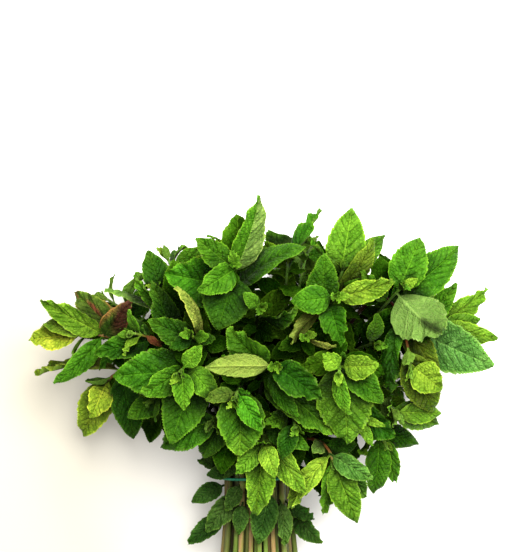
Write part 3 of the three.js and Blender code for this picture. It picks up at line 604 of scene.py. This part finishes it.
def find_pose(leaf, tree):
    """The pose that a leaf's solid was made from, or none if it had no room."""
    s, w = YOUNG if leaf.length < YOUNG_LENGTH else SHOWING if leaf.aim else HIDDEN
    for attempt in range(TRIES):
        pose = leaf_pose(leaf, attempt)
        if not on_solid(tree, solid_point(pose, 1, 0)):
            continue
        edge = w * pose.half * float(leaf_width(s))
        if on_solid(tree, solid_point(pose, s, edge)) and on_solid(tree, solid_point(pose, s, -edge)):
            return pose
    return None


class Piece:
    """Gathers the fine surface of one sprig: points, faces, and what its materials read."""

    def __init__(self):
        self.points, self.faces, self.slots, self.tones, self.spots, self.nets = [], [], [], [], [], []
        self.count = 0

    def add(self, points, faces, tones, spots, nets, slot):
        self.points.append(points)
        self.faces += [tuple(n + self.count for n in face) for face in faces]
        self.slots += [slot] * len(faces)
        self.tones.append(tones)
        self.spots.append(spots)
        self.nets.append(nets)
        self.count += len(points)

    def build(self, name, materials):
        points = (np.concatenate(self.points) + SHIFT) / MM
        mesh = bpy.data.meshes.new(name)
        mesh.from_pydata(points.tolist(), [], self.faces)
        mesh.polygons.foreach_set("material_index", self.slots)
        mesh.polygons.foreach_set("use_smooth", [True] * len(self.faces))
        tone = mesh.attributes.new("tone", "FLOAT_COLOR", "POINT")
        tone.data.foreach_set("color", np.concatenate(self.tones).astype(np.float32).ravel())
        for key, values in (("spot", self.spots), ("net", self.nets)):
            layer = mesh.attributes.new(key, "FLOAT_VECTOR", "POINT")
            layer.data.foreach_set("vector", np.concatenate(values).astype(np.float32).ravel())
        for material in materials:
            mesh.materials.append(material)
        return link(name, mesh)


def smooth(x, low, high):
    t = np.clip((x - low) / (high - low), 0, 1)
    return t * t * (3 - 2 * t)


def blade_faces(rows, cols, start, tip, flip):
    """Quads between rows of points, and a fan to the tip."""
    faces = []
    for i in range(rows - 1):
        for j in range(cols - 1):
            a = start + i * cols + j
            faces.append((a, a + 1, a + cols + 1, a + cols))
    last = start + (rows - 1) * cols
    faces += [(last + j, last + j + 1, tip) for j in range(cols - 1)]
    return [face[::-1] for face in faces] if flip else faces


def inner_shade(points):
    """Painted shade: leaves deep inside the head are darker, 1 at its outside, less towards its middle."""
    away = np.linalg.norm((points - vec(*HEAD_MIDDLE)) / vec(*HEAD_HALF), axis=1)
    return (0.24 + 0.76 * smooth(away, 0.5, 0.94))[:, None]


def sky_light(point, room):
    """How open a point is to the light from above, from 0 to 1."""
    light = 0.0
    for way, weight in SKY:
        hit = room.solids.ray_cast(Vector(point), way, SKY_REACH)
        light += weight if hit[0] is None else weight * 0.5 * float(smooth(hit[3], 3, 70))
    return light


def between(values, grid):
    """The marks of an even grid below some values, and their shares of the way to the next marks."""
    last = len(grid) - 1
    place = np.clip((values - grid[0]) / (grid[-1] - grid[0]) * last, 0, last - 0.001)
    mark = place.astype(int)
    return mark, place - mark


def open_sky(pose, s, t, room):
    """How open a leaf's points are to the light from above, from 0 to 1, as found on a coarse grid."""
    grid_s, grid_t = (marks.ravel() for marks in np.meshgrid(SKY_S, SKY_T, indexing="ij"))
    r = grid_t * pose.half * fine_width(np.minimum(grid_s, 0.93))
    points = folded(pose, grid_s, r)[0] + vec(0, 0, 1.4)
    seen = np.array([sky_light(point, room) for point in points]).reshape(len(SKY_S), len(SKY_T))
    (i, f), (j, g) = between(s, SKY_S), between(t, SKY_T)
    near = seen[i, j] * (1 - g) + seen[i, j + 1] * g
    far = seen[i + 1, j] * (1 - g) + seen[i + 1, j + 1] * g
    return near * (1 - f) + far * f


def tone_of(name, share=1):
    return np.array(TONES[name]) * share


def leaf_tone(look, age, drawn):
    """A leaf's base colour: that of its look, or one for its age, which runs from 0 at its youngest to 3."""
    if look != "by_age":
        base = tone_of(MARKED.get(look, look))
    else:
        step = min(int(age), 2)
        a, b = tone_of(AGES[step]), tone_of(AGES[step + 1])
        base = a + (b - a) * min(1, age - step)
    return base * (1 + 0.18 * drawn[0]) * (1 + vec(0.2, 0, 0.1) * drawn[1])


def blend(colours, other, share):
    return colours + (other - colours) * share.ravel()[:, None]


class FineLeaf:
    """A fine leaf: side veins pressed in, the surface raised between them, a toothed, waved margin.

    w runs from 0 to 1 along the blade and t from -1 to 1 across it. s is the share of the whole length
    with the stalk, and r is the distance beside the midrib.
    """

    def __init__(self, pose, look, age, keys, grid):
        self.pose, self.look, self.age = pose, look, age
        self.drawn = [sway(*keys, 50 + n) for n in range(11)]
        self.size = min(1.0, pose.length / FULL_LEAF)
        self.rows, side = grid
        self.place(np.array([-x for x in side[:0:-1]] + side))
        self.edge = np.abs(self.t)
        self.from_stem = self.s * pose.length

    def place(self, across):
        """The stalk's two rows of points, and the blade's, which slide forward towards a toothed margin."""
        w, t = np.meshgrid(np.arange(self.rows) / self.rows, across, indexing="ij")
        edge = np.abs(t)
        outer = edge**8
        teeth = (np.arange(self.rows) % 3)[:, None] / 2
        fade = smooth(w, 0.04, 0.14) * (1 - 0.5 * w)
        shift = 0.5 * (1 - w) * smooth(w, 0, 0.35)
        along = w + shift * edge**1.35 + 0.010 * teeth * outer
        wide = self.pose.half * fine_width(w + shift)
        reach = np.maximum(wide * (1 + 0.085 * (teeth - 0.4) * fade * outer), STALK_HALF)
        stalk = min(0.1, STALK / self.pose.length)
        low, low_t = np.meshgrid([-0.5, 0.4], across, indexing="ij")
        self.s = np.concatenate([stalk * low, stalk + (1 - stalk) * along])
        self.r = np.concatenate([low_t * STALK_HALF, t * reach])
        self.w = np.concatenate([0 * low, w])
        self.t = np.concatenate([low_t, t])

    def heights(self):
        """How far the points stand off the folded blade, and how much of it is the droop of the tip."""
        w, edge, size, drawn = self.w, self.edge, self.size, self.drawn
        pillow = np.sin(np.pi * ((w * VEINS) % 1)) ** 0.6
        profile = np.interp(edge, [0, 0.08, 0.3, 0.7, 0.9, 1], [0, 0.35, 1, 0.9, 0.5, 0.25])
        cells = 1 + 0.22 * np.cos(2 * np.pi * (edge * 2.3 + np.floor(w * VEINS) * 0.37 + drawn[0]))
        body = smooth(w, 0, 0.1) * (1 - smooth(w, 0.85, 1.0))
        relief = (0.85 + 0.3 * drawn[1]) * size * pillow * profile * cells * body
        relief = relief - 0.4 * size * np.exp(-((edge / 0.1) ** 2)) * body
        phase = 2 * np.pi * (w * (2.2 + 0.8 * drawn[2]) + drawn[3] + 0.21 * np.sign(self.t))
        wave = (1.4 + 1.0 * drawn[4]) * size * edge**2 * np.sin(phase)
        curl = (-0.4 + 2.0 * drawn[5]) * size * edge**3
        droop = -(0.6 + 0.8 * drawn[6]) * size * smooth(w, 0.6, 1.15) * 2.0
        return relief + (wave + curl) * smooth(w, 0, 0.15) + droop, droop

    def surface(self):
        """The points of the upper side, of the lower side, and the tip's two."""
        h, droop = self.heights()
        middle, tilt = folded(self.pose, self.s.ravel(), self.r.ravel(), 0.8)
        thick = 0.3 + 0.7 * np.exp(-((self.from_stem / 2.6) ** 2))
        thick = thick * np.sqrt(np.clip(1 - self.edge**6, 0, 1))
        rib = 0.5 * self.size * np.exp(-((self.r / 0.8) ** 2))
        rib = rib * (1 - 0.75 * self.w) * smooth(self.w, -0.01, 0.05)
        top = middle + tilt * (h + thick / 2).ravel()[:, None]
        low = middle + tilt * (h - thick / 2 - rib).ravel()[:, None]
        end, _, end_up = leaf_frame(self.pose, 1)
        tip = end + end_up * float(droop[-1, 0])
        top[:, 2] = np.maximum(top[:, 2], 0.3)
        points = np.concatenate([top, low, tip, tip])
        points[:, 2] = np.maximum(points[:, 2], 0.12)
        return points

    def colours(self):
        """The upper side: lighter and yellower towards its margin and tip, with the marks that its look has.
        """
        w, t, edge, look = self.w, self.t, self.edge, self.look
        base = leaf_tone(look, self.age, self.drawn[7:9])
        young = tone_of("lime", 0.5) + tone_of("bright", 0.5)
        rim = 0.16 * edge**4 + (0.3 + 0.2 * self.drawn[9]) * smooth(w, 0.55, 1.1)
        if look == "tipped":
            rim = rim + 0.8 * smooth(w, 0.45, 0.95)
        rim = np.clip(rim, 0, 1).ravel()[:, None]
        colour = base * (1 - rim) + young * rim
        if look == "folded":
            colour = blend(colour, tone_of("pale", 0.9), smooth(t, -0.05, 0.1))
        if look == "withered":
            dry = smooth(w + 0.3 * t, 0.15, 0.55)
            colour = blend(colour, tone_of("brown"), dry)
            colour = blend(colour, tone_of("rust", 0.6), smooth(edge, 0.6, 1.0) * (1 - dry) * 0.7)
        if look == "rusty":
            blot = smooth(np.sin(7 * w + 1) * np.cos(4 * t + 2), 0.2, 0.9)
            colour = blend(colour, tone_of("rust", 0.6), blot)
        return colour

    def add_to(self, piece, room):
        count, cols = self.s.shape
        n = count * cols
        points = self.surface()
        faces = blade_faces(count, cols, 0, 2 * n, False) + blade_faces(count, cols, n, 2 * n + 1, True)
        colour = self.colours()
        under = colour * 0.45 + tone_of("pale", 0.55)
        # Painted shade: both sides are darkened deep inside the head and where little light from above
        # reaches the leaf.
        sky = open_sky(self.pose, self.s.ravel(), self.t.ravel(), room)[:, None]
        shade = np.maximum(inner_shade(points[:n]) * (0.04 + 1.1 * sky**1.7), 0.15)
        top = np.hstack([colour * shade, np.zeros((n, 1))])
        low = np.hstack([under * shade, np.ones((n, 1))])
        pick = 3.0 * (self.drawn[10] + 1)
        spot = np.stack([self.w.ravel() * VEINS, self.t.ravel(), np.zeros(n)], 1)
        net = np.stack([self.from_stem.ravel() / 10 + pick, self.r.ravel() / 10, np.full(n, pick)], 1)
        tones = np.concatenate([top, low, top[-1:], low[-1:]])
        spots = np.concatenate([spot, spot, [[VEINS, 0, 0]] * 2])
        nets = np.concatenate([net, net, [[self.pose.length / 10 + pick, 0, pick]] * 2])
        # Leaves in deep painted shade take the copy of the material without reflection.
        piece.add(points, faces, tones, spots, nets, 0 if shade.mean() > INNER else 2)


def stem_colour(stem, q, drawn):
    """Pale green, tan or rusty below the band, green or red above it, and like a young leaf at the tip."""
    pale, tan, rust = vec(0.15, 0.17, 0.040), vec(0.24, 0.16, 0.060), vec(0.13, 0.055, 0.022)
    green, red = vec(0.075, 0.15, 0.018), vec(0.22, 0.017, 0.013)
    kind = drawn[0]
    low = pale if kind < -0.2 else tan if kind < 0.6 else rust
    high = green + (red - green) * RED_STEMS.get(stem.name, 0.35 if drawn[1] > 0.5 else 0.0)
    colour = low + (high - low) * float(smooth(q, -0.25, 0.45))
    return colour + (tone_of("bright") - colour) * float(smooth(q, 0.93, 1.0))


def tube_faces(rings, sides):
    """Quads round a tube, and a face at each end."""
    faces = []
    for a in range(0, (rings - 1) * sides, sides):
        for j in range(sides):
            k = (j + 1) % sides
            faces.append((a + j, a + k, a + sides + k, a + sides + j))
    faces.append(tuple(range(sides - 1, -1, -1)))
    faces.append(tuple((rings - 1) * sides + j for j in range(sides)))
    return faces


def add_stem(piece, stem, room):
    """A square stem with a groove on each side and a swelling at each pair of leaves."""
    above = np.linspace(0, 1, max(24, int(stem.reach / 3.5)))
    places = [*np.linspace(-1, 0, 30, endpoint=False), *above]
    nodes = [node.q for node in stem.nodes]
    points, tones, nets, light = [], [], [], []
    drawn = [sway(stem.number, 401), sway(stem.number, 402)]
    angles = np.radians(45 + 360 / STEM_SIDES * np.arange(STEM_SIDES))
    shape = 0.83 + 0.15 * np.cos(4 * (angles - math.radians(45)))
    for q in places:
        ring = stem.ring(q)
        near = min([abs(q - node) * (stem.reach if node > 0 else stem.depth) for node in nodes] or [99])
        half = ring.half * (1 + 0.28 * math.exp(-((near / 1.8) ** 2)))
        around = np.outer(np.cos(angles), ring.across) + np.outer(np.sin(angles), ring.up)
        points.append(ring.at + around * (shape * half)[:, None])
        light.append(0.12 + 0.88 * sky_light(ring.at + vec(0, 0, ring.half + 1), room))
        colour = stem_colour(stem, q, drawn)
        colour = colour + (vec(0.17, 0.22, 0.04) - colour) * (math.exp(-((near / 2.5) ** 2)) * 0.4)
        tones.append(np.tile([*colour, 0], (STEM_SIDES, 1)))
        nets.append(np.stack([np.full(STEM_SIDES, q * 15), np.cos(angles), np.sin(angles) + stem.number], 1))
    points = np.concatenate(points)
    points[:, 2] = np.maximum(points[:, 2], 0.05)
    tones = np.concatenate(tones)
    # Painted shade: the stem is darkened deep inside the head and where little light from above reaches it.
    tones[:, :3] *= inner_shade(points) * np.repeat(light, STEM_SIDES)[:, None]
    faces = tube_faces(len(places), STEM_SIDES)
    piece.add(points, faces, tones, np.zeros_like(points), np.concatenate(nets), 1)


def sheets(pose, spare):
    """A coarse leaf, as two sheets with the leaf between them, to try whether it has room."""
    first = min(0.3, 4.5 / pose.length)
    s, r = (marks.ravel() for marks in np.meshgrid([first, 0.35, 0.65, 1.0], [-1, 0, 1], indexing="ij"))
    r = r * pose.half * leaf_width(np.minimum(s, 0.97)) * 1.05
    at, out, up = leaf_frame(pose, s)
    c, z = math.cos(pose.fold), math.sin(pose.fold)
    middle = at + out * (r * c)[:, None] + up * (np.abs(r) * z)[:, None]
    points = np.concatenate([middle + up * spare, middle - up * 0.8 * spare])
    corners = [base + 3 * i + j for base in (0, 12) for i in range(3) for j in range(2)]
    return middle, points, [(a, a + 1, a + 4, a + 3) for a in corners]


class Room:
    """What is already there, to find where another leaf fits."""

    def __init__(self):
        points, faces = [], []
        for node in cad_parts.values():
            base = len(points)
            points += [tuple(np.array(v.co) * MM - SHIFT) for v in node.data.vertices]
            faces += [tuple(base + i for i in polygon.vertices) for polygon in node.data.polygons]
        self.solids = BVHTree.FromPolygons(points, faces)
        self.low = np.array(CAD_BOX[0]) * MM - SHIFT + 1.5
        self.high = np.array(CAD_BOX[1]) * MM - SHIFT - 1.5
        self.added, self.lows, self.highs = [], [], []

    def fits(self, pose, rim, spare):
        """Whether a leaf touches nothing. If it does not, it is kept for later leaves."""
        middle, points, quads = sheets(pose, spare)
        low, high = points.min(0), points.max(0)
        if (low < self.low).any() or (high > self.high).any():
            return False
        if rim and not self.unseen(middle, rim):
            return False
        tree = BVHTree.FromPolygons(points.tolist(), quads)
        if tree.overlap(self.solids):
            return False
        if self.added:
            near = (np.array(self.lows) <= high).all(1) & (np.array(self.highs) >= low).all(1)
            if any(tree.overlap(self.added[n]) for n in np.flatnonzero(near)):
                return False
        self.added.append(tree)
        self.lows.append(low)
        self.highs.append(high)
        return True

    def covered(self, x, y):
        """Whether a point of the surface is hidden from an eye over the middle of the bunch."""
        foot, eye = Vector((x, y, 1)), Vector(EYE)
        return any(tree.ray_cast(foot, eye - foot)[0] is not None for tree in (self.solids, *self.added))

    def unseen(self, middle, rim):
        """Whether a leaf lies under others or fills a deep gap, and covers none that shows."""
        covering, outside = 0, 0
        for x, y, z in middle[3:]:
            if self.solids.ray_cast(Vector((x, y, z + 0.8)), Vector((0, 0, 1)))[0] is not None:
                continue
            below = self.solids.ray_cast(Vector((x, y, z - 0.8)), Vector((0, 0, -1)))
            if below[0] is None:
                outside += off_centre(x, y, RIM_X, RIM_HALF) > rim
            elif below[3] < 20:
                covering += 1
        return covering <= 2 and outside == 0


def off_centre(x, y, middle_x, half_x):
    """How far out a point is in an ellipse round the head, seen from above; its edge is at 1."""
    dx, dy = (x - middle_x) / half_x, (y - HEAD_Y) / HEAD_HALF_Y
    return dx * dx + dy * dy


def first_fit(leaf, attempts, room, rim=1.0, spare=1.1):
    """The first pose of a leaf that has room, or none."""
    for attempt in attempts:
        pose = leaf_pose(leaf, attempt)
        if room.fits(pose, rim, spare):
            return pose
    return None


def solid_leaves(stem, poses):
    """The leaves that the solids have too. As for all leaves: pose, look, age, keys and grid of points."""
    for pose, wanted in poses:
        number, pair, side = wanted.keys
        usual = "lime" if (stem.name, pair) == LIME_PAIR else "by_age"
        look = wanted.aim.look if wanted.aim else usual
        age = PAIR_AGES[min(pair, 5)] + 0.5 * sway(number, pair, side, 71)
        grid = FINE if wanted.aim and pose.length > 24 else USUAL if pose.length > 13 else PLAIN
        yield pose, look, max(0, age), wanted.keys, grid


def bud_leaves(stem):
    """The closed leaves at the very tip."""
    ring = stem.ring(1.0)
    ring.at = ring.at - ring.along * 1.5
    for n in range(4):
        keys, odd = (stem.number, 90, n), n % 2
        leaf = leaf_on(ring, n, 0, keys, 5.5 + 2 * odd, 14 + 8 * odd, 0.5)
        yield leaf_pose(leaf, 0), "bright", 0, keys, PLAIN


def side_leaves(stem, room):
    """Small leaves between the pairs, where there is room for them inside the head."""
    found = []
    for n, back in enumerate(SIDE_BACKS):
        q = 1 - back / stem.reach
        if q < 0.06:
            break
        ring = stem.ring(q)
        for side in range(4):
            keys = (stem.number, 100 + n, side)
            length = stem.leaf * (0.42 + 0.5 * chance(*keys, 31)) * (0.6 if back < 12 else 1)
            leaf = leaf_on(ring, side, ring.half * 0.7, keys, length, 62, 0.56)
            pose = first_fit(leaf, range(0, 28, 3), room)
            if pose:
                found.append((pose, "by_age", 1.0 + 1.6 * chance(*keys, 72), keys, PLAIN))
    return found


def extra_leaf(stem, back, at, wide, look, keys, room, rim):
    """A leaf aimed at a point, if there is room for it."""
    ring = stem.ring(1 - back / stem.reach)
    goal = unit(vec(*at) - ring.at)
    corner = max(range(4), key=lambda c: side_way(ring, c) @ goal)
    aim = aim_of(at, wide, look)
    leaf = leaf_on(ring, corner, ring.half * 0.7, keys, 2 * YOUNG_LENGTH, 0, wide, aim)
    pose = first_fit(leaf, range(0, TRIES, 2), room, rim, 0.8)
    return [(pose, look, 2.5, keys, SMALL)] if pose else []


def near_starts(stems, x, y):
    """Places on the lower parts of the stems around a point, the nearest first."""
    near = []
    for stem in stems:
        for back in range(6, int(stem.reach) - 20, 7):
            start = stem.point(1 - back / stem.reach)
            away = math.hypot(start[0] - x, start[1] - y)
            if NEAREST_START < away < FARTHEST_START and start[2] < HIGHEST_START:
                near.append((away, stem.number, back, stem, start))
    near.sort(key=lambda item: item[:3])
    return near[:STARTS]


def gap_leaves(stems, room, leaves):
    """Adds leaves low in the head, aimed at the places where the surface under the bunch would show. Their
    dark look is painted shade in these deep gaps.
    """
    for i, x in enumerate(GAP_COLUMNS):
        for j, y in enumerate(GAP_ROWS):
            out = off_centre(x, y, GAP_X, GAP_HALF)
            inside = out < 0.86 or (x > -40 and out < 1.02) or (0 < x < 62 and 0 < y < 50)
            if not inside or room.covered(x, y):
                continue
            for n, (away, number, back, stem, start) in enumerate(near_starts(stems, x, y)):
                beyond = start + (vec(x, y, 0) - start) * (1 + 8 / away)
                at = (beyond[0], beyond[1], max(6, start[2] - 4))
                keys = (number, 200 + i, j + back)
                wide = GAP_WIDE if n < WIDE_STARTS else GAP_NARROW
                # The dark look is painted shade for the gap.
                found = extra_leaf(stem, back, at, wide, "dark", keys, room, 1.5)
                leaves[number] += found
                if found and room.covered(x, y):
                    break


class Nodes:
    """Short calls for the nodes of one material."""

    def __init__(self, name):
        self.material = bpy.data.materials.new(name)
        self.material.use_nodes = True
        self.tree = self.material.node_tree

    def put(self, node, values):
        """Links the sockets among the values, and sets the others."""
        for key, value in dict(values).items():
            if isinstance(value, bpy.types.NodeSocket):
                self.tree.links.new(value, node.inputs[key])
            else:
                node.inputs[key].default_value = value

    def add(self, kind, inputs=(), **settings):
        node = self.tree.nodes.new("ShaderNode" + kind)
        for key, value in settings.items():
            setattr(node, key, value)
        self.put(node, inputs)
        return node

    def finish(self, values):
        self.put(self.tree.nodes["Principled BSDF"], values)
        return self.material

    def attribute(self, name):
        return self.add("Attribute", attribute_name=name).outputs

    def parts(self, vector):
        return self.add("SeparateXYZ", {0: vector}).outputs

    def noise(self, place, scale, detail):
        inputs = {"Vector": place, "Scale": scale, "Detail": detail}
        return self.add("TexNoise", inputs).outputs[0]

    def bump(self, height, strength, distance):
        inputs = {"Height": height, "Strength": strength, "Distance": distance}
        return self.add("Bump", inputs).outputs[0]

    def math(self, operation, *values):
        return self.add("Math", enumerate(values), operation=operation).outputs[0]

    def plus(self, a, b):
        return self.math("ADD", a, b)

    def times(self, a, b):
        return self.math("MULTIPLY", a, b)

    def rest(self, value):
        return self.math("SUBTRACT", 1.0, value)

    def step(self, value, low, high):
        inputs = {"Value": value, "From Min": low, "From Max": high}
        return self.add("MapRange", inputs, interpolation_type="SMOOTHSTEP").outputs[0]

    def span(self, value, low, high, to_low, to_high):
        inputs = {"Value": value, "From Min": low, "From Max": high, "To Min": to_low, "To Max": to_high}
        return self.add("MapRange", inputs).outputs[0]

    def mix(self, share, a, b, kind="MIX"):
        return self.add("Mix", {0: share, 6: a, 7: b}, data_type="RGBA", blend_type=kind).outputs[2]

    def dye(self, colour, *factors):
        """A colour times a factor for each of red, green and blue."""
        return self.mix(1.0, colour, (*factors, 1), "MULTIPLY")

    def dim(self, colour, shade):
        grey = self.add("CombineXYZ", {0: shade, 1: shade, 2: shade}).outputs[0]
        return self.mix(1.0, colour, grey, "MULTIPLY")


def leaf_material(name, specular):
    """Painted shade in the pressed-in veins and net and painted highlight patches on the upper side, a pale
    midrib and margin, and raised veins below.
    """
    n = Nodes(name)
    tone = n.attribute("tone")
    plain, under = tone["Color"], tone["Alpha"]
    spot, net = n.parts(n.attribute("spot")["Vector"]), n.attribute("net")["Vector"]
    warp, fine, patch = n.noise(net, 2.6, 2.0), n.noise(net, 9.0, 3.0), n.noise(net, 1.6, 3.0)
    beside = n.math("ABSOLUTE", spot["Y"])
    from_vein = n.plus(n.math("PINGPONG", spot["X"], 0.5), n.span(warp, 0.3, 0.7, -0.09, 0.09))
    vein = n.times(n.rest(n.step(from_vein, 0.0, 0.12)), n.span(beside, 0.0, 1.0, 1.0, 0.4))
    midrib, margin = n.rest(n.step(beside, 0.01, 0.06)), n.step(beside, 0.9, 1.0)
    cells = n.add("TexVoronoi", {"Vector": net, "Scale": 4.4}, feature="DISTANCE_TO_EDGE")
    lines = n.rest(n.step(cells.outputs["Distance"], 0.0, 0.25))
    bars = n.math("PINGPONG", n.plus(n.times(beside, 3.2), n.times(warp, 2.0)), 0.5)
    lines = n.math("MAXIMUM", lines, n.times(n.rest(n.step(bars, 0.0, 0.22)), 0.6))

    # dark is painted shade, laid in the pressed-in veins and the net of grooves on the upper side.
    dark, pale = n.dye(plain, 0.12, 0.2, 0.2), n.dye(plain, 3.2, 2.4, 3.0)
    top = n.mix(n.times(lines, 0.34), plain, dark)
    top = n.mix(n.times(vein, 0.72), top, dark)
    # Lighter, whiter patches on the upper side: painted highlights.
    top = n.mix(n.step(patch, 0.38, 0.68), top, n.dye(top, 1.9, 1.6, 2.0))
    top = n.mix(n.times(midrib, 0.5), top, pale)
    top = n.mix(n.times(margin, 0.75), top, pale)
    low, raised = plain, n.dye(plain, 2.0, 1.7, 2.0)
    for mark, share in ((lines, 0.25), (vein, 0.6), (midrib, 0.8)):
        low = n.mix(n.times(mark, share), low, raised)
    colour = n.dim(n.mix(under, top, low), n.span(fine, 0.3, 0.7, 0.88, 1.1))

    rough = n.plus(n.span(fine, 0.3, 0.7, 0.42, 0.56), n.times(under, 0.2))
    height = n.plus(n.math("SUBTRACT", n.rest(lines), n.times(vein, 0.9)), n.times(fine, 0.25))
    return n.finish({
        "Base Color": colour, "Roughness": rough, "Normal": n.bump(height, 0.7, 0.0008),
        "IOR": 1.4, "Specular IOR Level": specular, "Subsurface Weight": 0.08,
        "Subsurface Radius": (0.4, 1.0, 0.12), "Subsurface Scale": 0.0012,
    })


def stem_material():
    """Long streaks and green patches."""
    n = Nodes("mint_stem")
    plain, net = n.attribute("tone")["Color"], n.attribute("net")["Vector"]
    stretch = n.add("Mapping", {"Vector": net, "Scale": (1.0, 6.0, 6.0)}).outputs[0]
    streak, patch = n.noise(stretch, 1.6, 4.0), n.noise(net, 0.5, 2.0)
    colour = n.mix(n.step(patch, 0.4, 0.65), plain, n.dye(plain, 0.8, 1.1, 0.7))
    return n.finish({
        "Base Color": n.dim(colour, n.span(streak, 0.3, 0.7, 0.72, 1.2)),
        "Roughness": n.span(streak, 0.3, 0.7, 0.4, 0.55), "Normal": n.bump(streak, 0.35, 0.0003),
        "Specular IOR Level": 0.12, "Subsurface Weight": 0.1, "Subsurface Scale": 0.001,
    })


def band_material():
    n = Nodes("green_band")
    grain = n.noise(n.add("TexCoord").outputs["Object"], 900.0, 3.0)
    share = n.span(grain, 0.35, 0.65, 0.0, 1.0)
    return n.finish({
        "Base Color": n.mix(share, (0.0, 0.10, 0.045, 1), (0.008, 0.20, 0.10, 1)),
        "Roughness": n.span(grain, 0.3, 0.7, 0.32, 0.46), "Normal": n.bump(grain, 0.25, 0.0002),
    })


def floor_material():
    """White, with painted shade towards the lower left: darker and warmer there."""
    n = Nodes("pale_surface")
    place = n.add("TexCoord").outputs["Object"]
    x, y, _ = n.parts(place)
    across = n.plus(n.times(x, -0.95), n.times(y, -0.3))
    across = n.plus(across, n.span(n.noise(place, 3.0, 2.0), 0.0, 1.0, -0.02, 0.02))
    # Painted shade: towards the lower left the colour falls to a darker, warmer one.
    colour = n.mix(n.step(across, 0.0, 0.14), (0.94, 0.93, 0.91, 1), (0.42, 0.395, 0.325, 1))
    return n.finish({"Base Color": colour, "Roughness": 0.8})


def link(name, data):
    thing = bpy.data.objects.new(name, data)
    bpy.context.scene.collection.objects.link(thing)
    return thing


def build_band():
    """A thin round band, drawn tight round the stems, with slight unevenness."""
    points, faces = [], []
    rx, rz = BUNDLE_X + BAND_AWAY + HALF_TIE, BUNDLE_Z + BAND_AWAY + HALF_TIE
    for k in range(BAND_STEPS):
        a = 2 * math.pi * k / BAND_STEPS
        thick = BAND_HALF * (1 + 0.05 * math.sin(5 * a + 1) + 0.03 * math.sin(11 * a))
        lean = 0.3 * math.sin(2 * a + 0.6) + 0.15 * math.sin(5 * a)
        for c in range(BAND_CORNERS):
            b = 2 * math.pi * c / BAND_CORNERS
            out, up = thick * math.cos(b), thick * math.sin(b)
            points.append((math.cos(a) * (rx + out), lean + up, math.sin(a) * (rz + out) + TIE_Z))
            p, q = k * BAND_CORNERS, (k + 1) % BAND_STEPS * BAND_CORNERS
            d = (c + 1) % BAND_CORNERS
            faces.append((p + c, p + d, q + d, q + c))
    mesh = bpy.data.meshes.new("band_fine")
    mesh.from_pydata(((np.array(points) + SHIFT) / MM).tolist(), [], faces)
    mesh.polygons.foreach_set("use_smooth", [True] * len(faces))
    mesh.materials.append(band_material())
    band = link("band_fine", mesh)
    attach(band, "root")
    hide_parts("band")


def find_stems():
    """Every stem whose solid is in the frame, with the poses of the leaves that the solid has."""
    places = bundle_places()
    lowest = min(place[1] for place in places)
    stems = []
    for number, row in enumerate(SPRIGS):
        tree = node_tree(f"sprig_{row[0]}")
        stem = find_stem(number, places[number], lowest, tree)
        if stem:
            poses = [(find_pose(wanted, tree), wanted) for wanted in wanted_leaves(stem)]
            stems.append((stem, [(pose, wanted) for pose, wanted in poses if pose]))
    return stems


def build_bunch():
    # The third material is a copy of the leaf material without reflection, for leaves in deep painted shade.
    materials = [leaf_material("mint_leaf", 0.06), stem_material(), leaf_material("mint_leaf_shaded", 0.0)]
    room = Room()
    found = find_stems()
    stems = [stem for stem, _ in found]
    by_name = {stem.name: stem for stem in stems}
    more = {stem.number: [] for stem in stems}
    for n, (name, back, at, wide, look) in enumerate(EXTRAS):
        stem = by_name[name]
        more[stem.number] += extra_leaf(stem, back, at, wide, look, (stem.number, 300, n), room, 0)
    sides = {stem.number: side_leaves(stem, room) for stem in stems}
    gap_leaves(stems, room, more)
    for stem, poses in found:
        piece = Piece()
        add_stem(piece, stem, room)
        leaves = [*solid_leaves(stem, poses), *bud_leaves(stem), *more[stem.number], *sides[stem.number]]
        for leaf in leaves:
            FineLeaf(*leaf).add_to(piece, room)
        fine = piece.build(f"{stem.name}_fine", materials)
        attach(fine, "root")
        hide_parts(f"sprig_{stem.name}")


def add_light(name, place, target, size, power, colour):
    data = bpy.data.lights.new(name, "AREA")
    data.shape = "DISK"
    data.size = size
    data.energy = power
    data.color = colour
    lamp = link(name, data)
    lamp.location = place
    lamp.rotation_euler = (Vector(target) - Vector(place)).to_track_quat("-Z", "Y").to_euler()


def build_stage():
    bpy.ops.mesh.primitive_circle_add(vertices=96, radius=3.0, fill_type="NGON", location=(0, 0, 0))
    floor = bpy.context.object
    floor.name = "floor"
    floor.data.materials.append(floor_material())

    world = bpy.data.worlds.new("studio")
    bpy.context.scene.world = world
    world.use_nodes = True
    background = world.node_tree.nodes["Background"]
    background.inputs["Color"].default_value = (1.0, 0.985, 0.96, 1)
    background.inputs["Strength"].default_value = 0.62
    add_light("key", (0.3, 0.7, 1.3), (0.02, 0.07, 0.05), 1.2, 65, (1.0, 0.985, 0.95))
    add_light("fill", (-0.1, 0.1, 1.7), (0, 0.05, 0.05), 0.9, 16, (1.0, 0.98, 0.95))


def build_camera():
    """Straight above, with the photograph's up along +Y. Its middle is right of and above the band's."""
    distance, depth = 1.1, 0.1
    pixel = 0.6  # in mm, at the depth of the head
    picture_height, right, above = 552, 2, 211  # in pixels
    data = bpy.data.cameras.new("camera")
    data.sensor_fit = "VERTICAL"
    data.sensor_height = 36
    data.lens = data.sensor_height * distance / (picture_height * pixel / MM)
    data.clip_end = 10
    camera = link("camera", data)
    centre = (vec(right * pixel, above * pixel, 0) + SHIFT) / MM
    camera.location = (centre[0], centre[1], depth + distance)
    camera.rotation_euler = (0, 0, 0)
    bpy.context.scene.camera = camera


build_camera()
build_stage()
build_band()
build_bunch()
bpy.context.scene.view_settings.view_transform = "Standard"
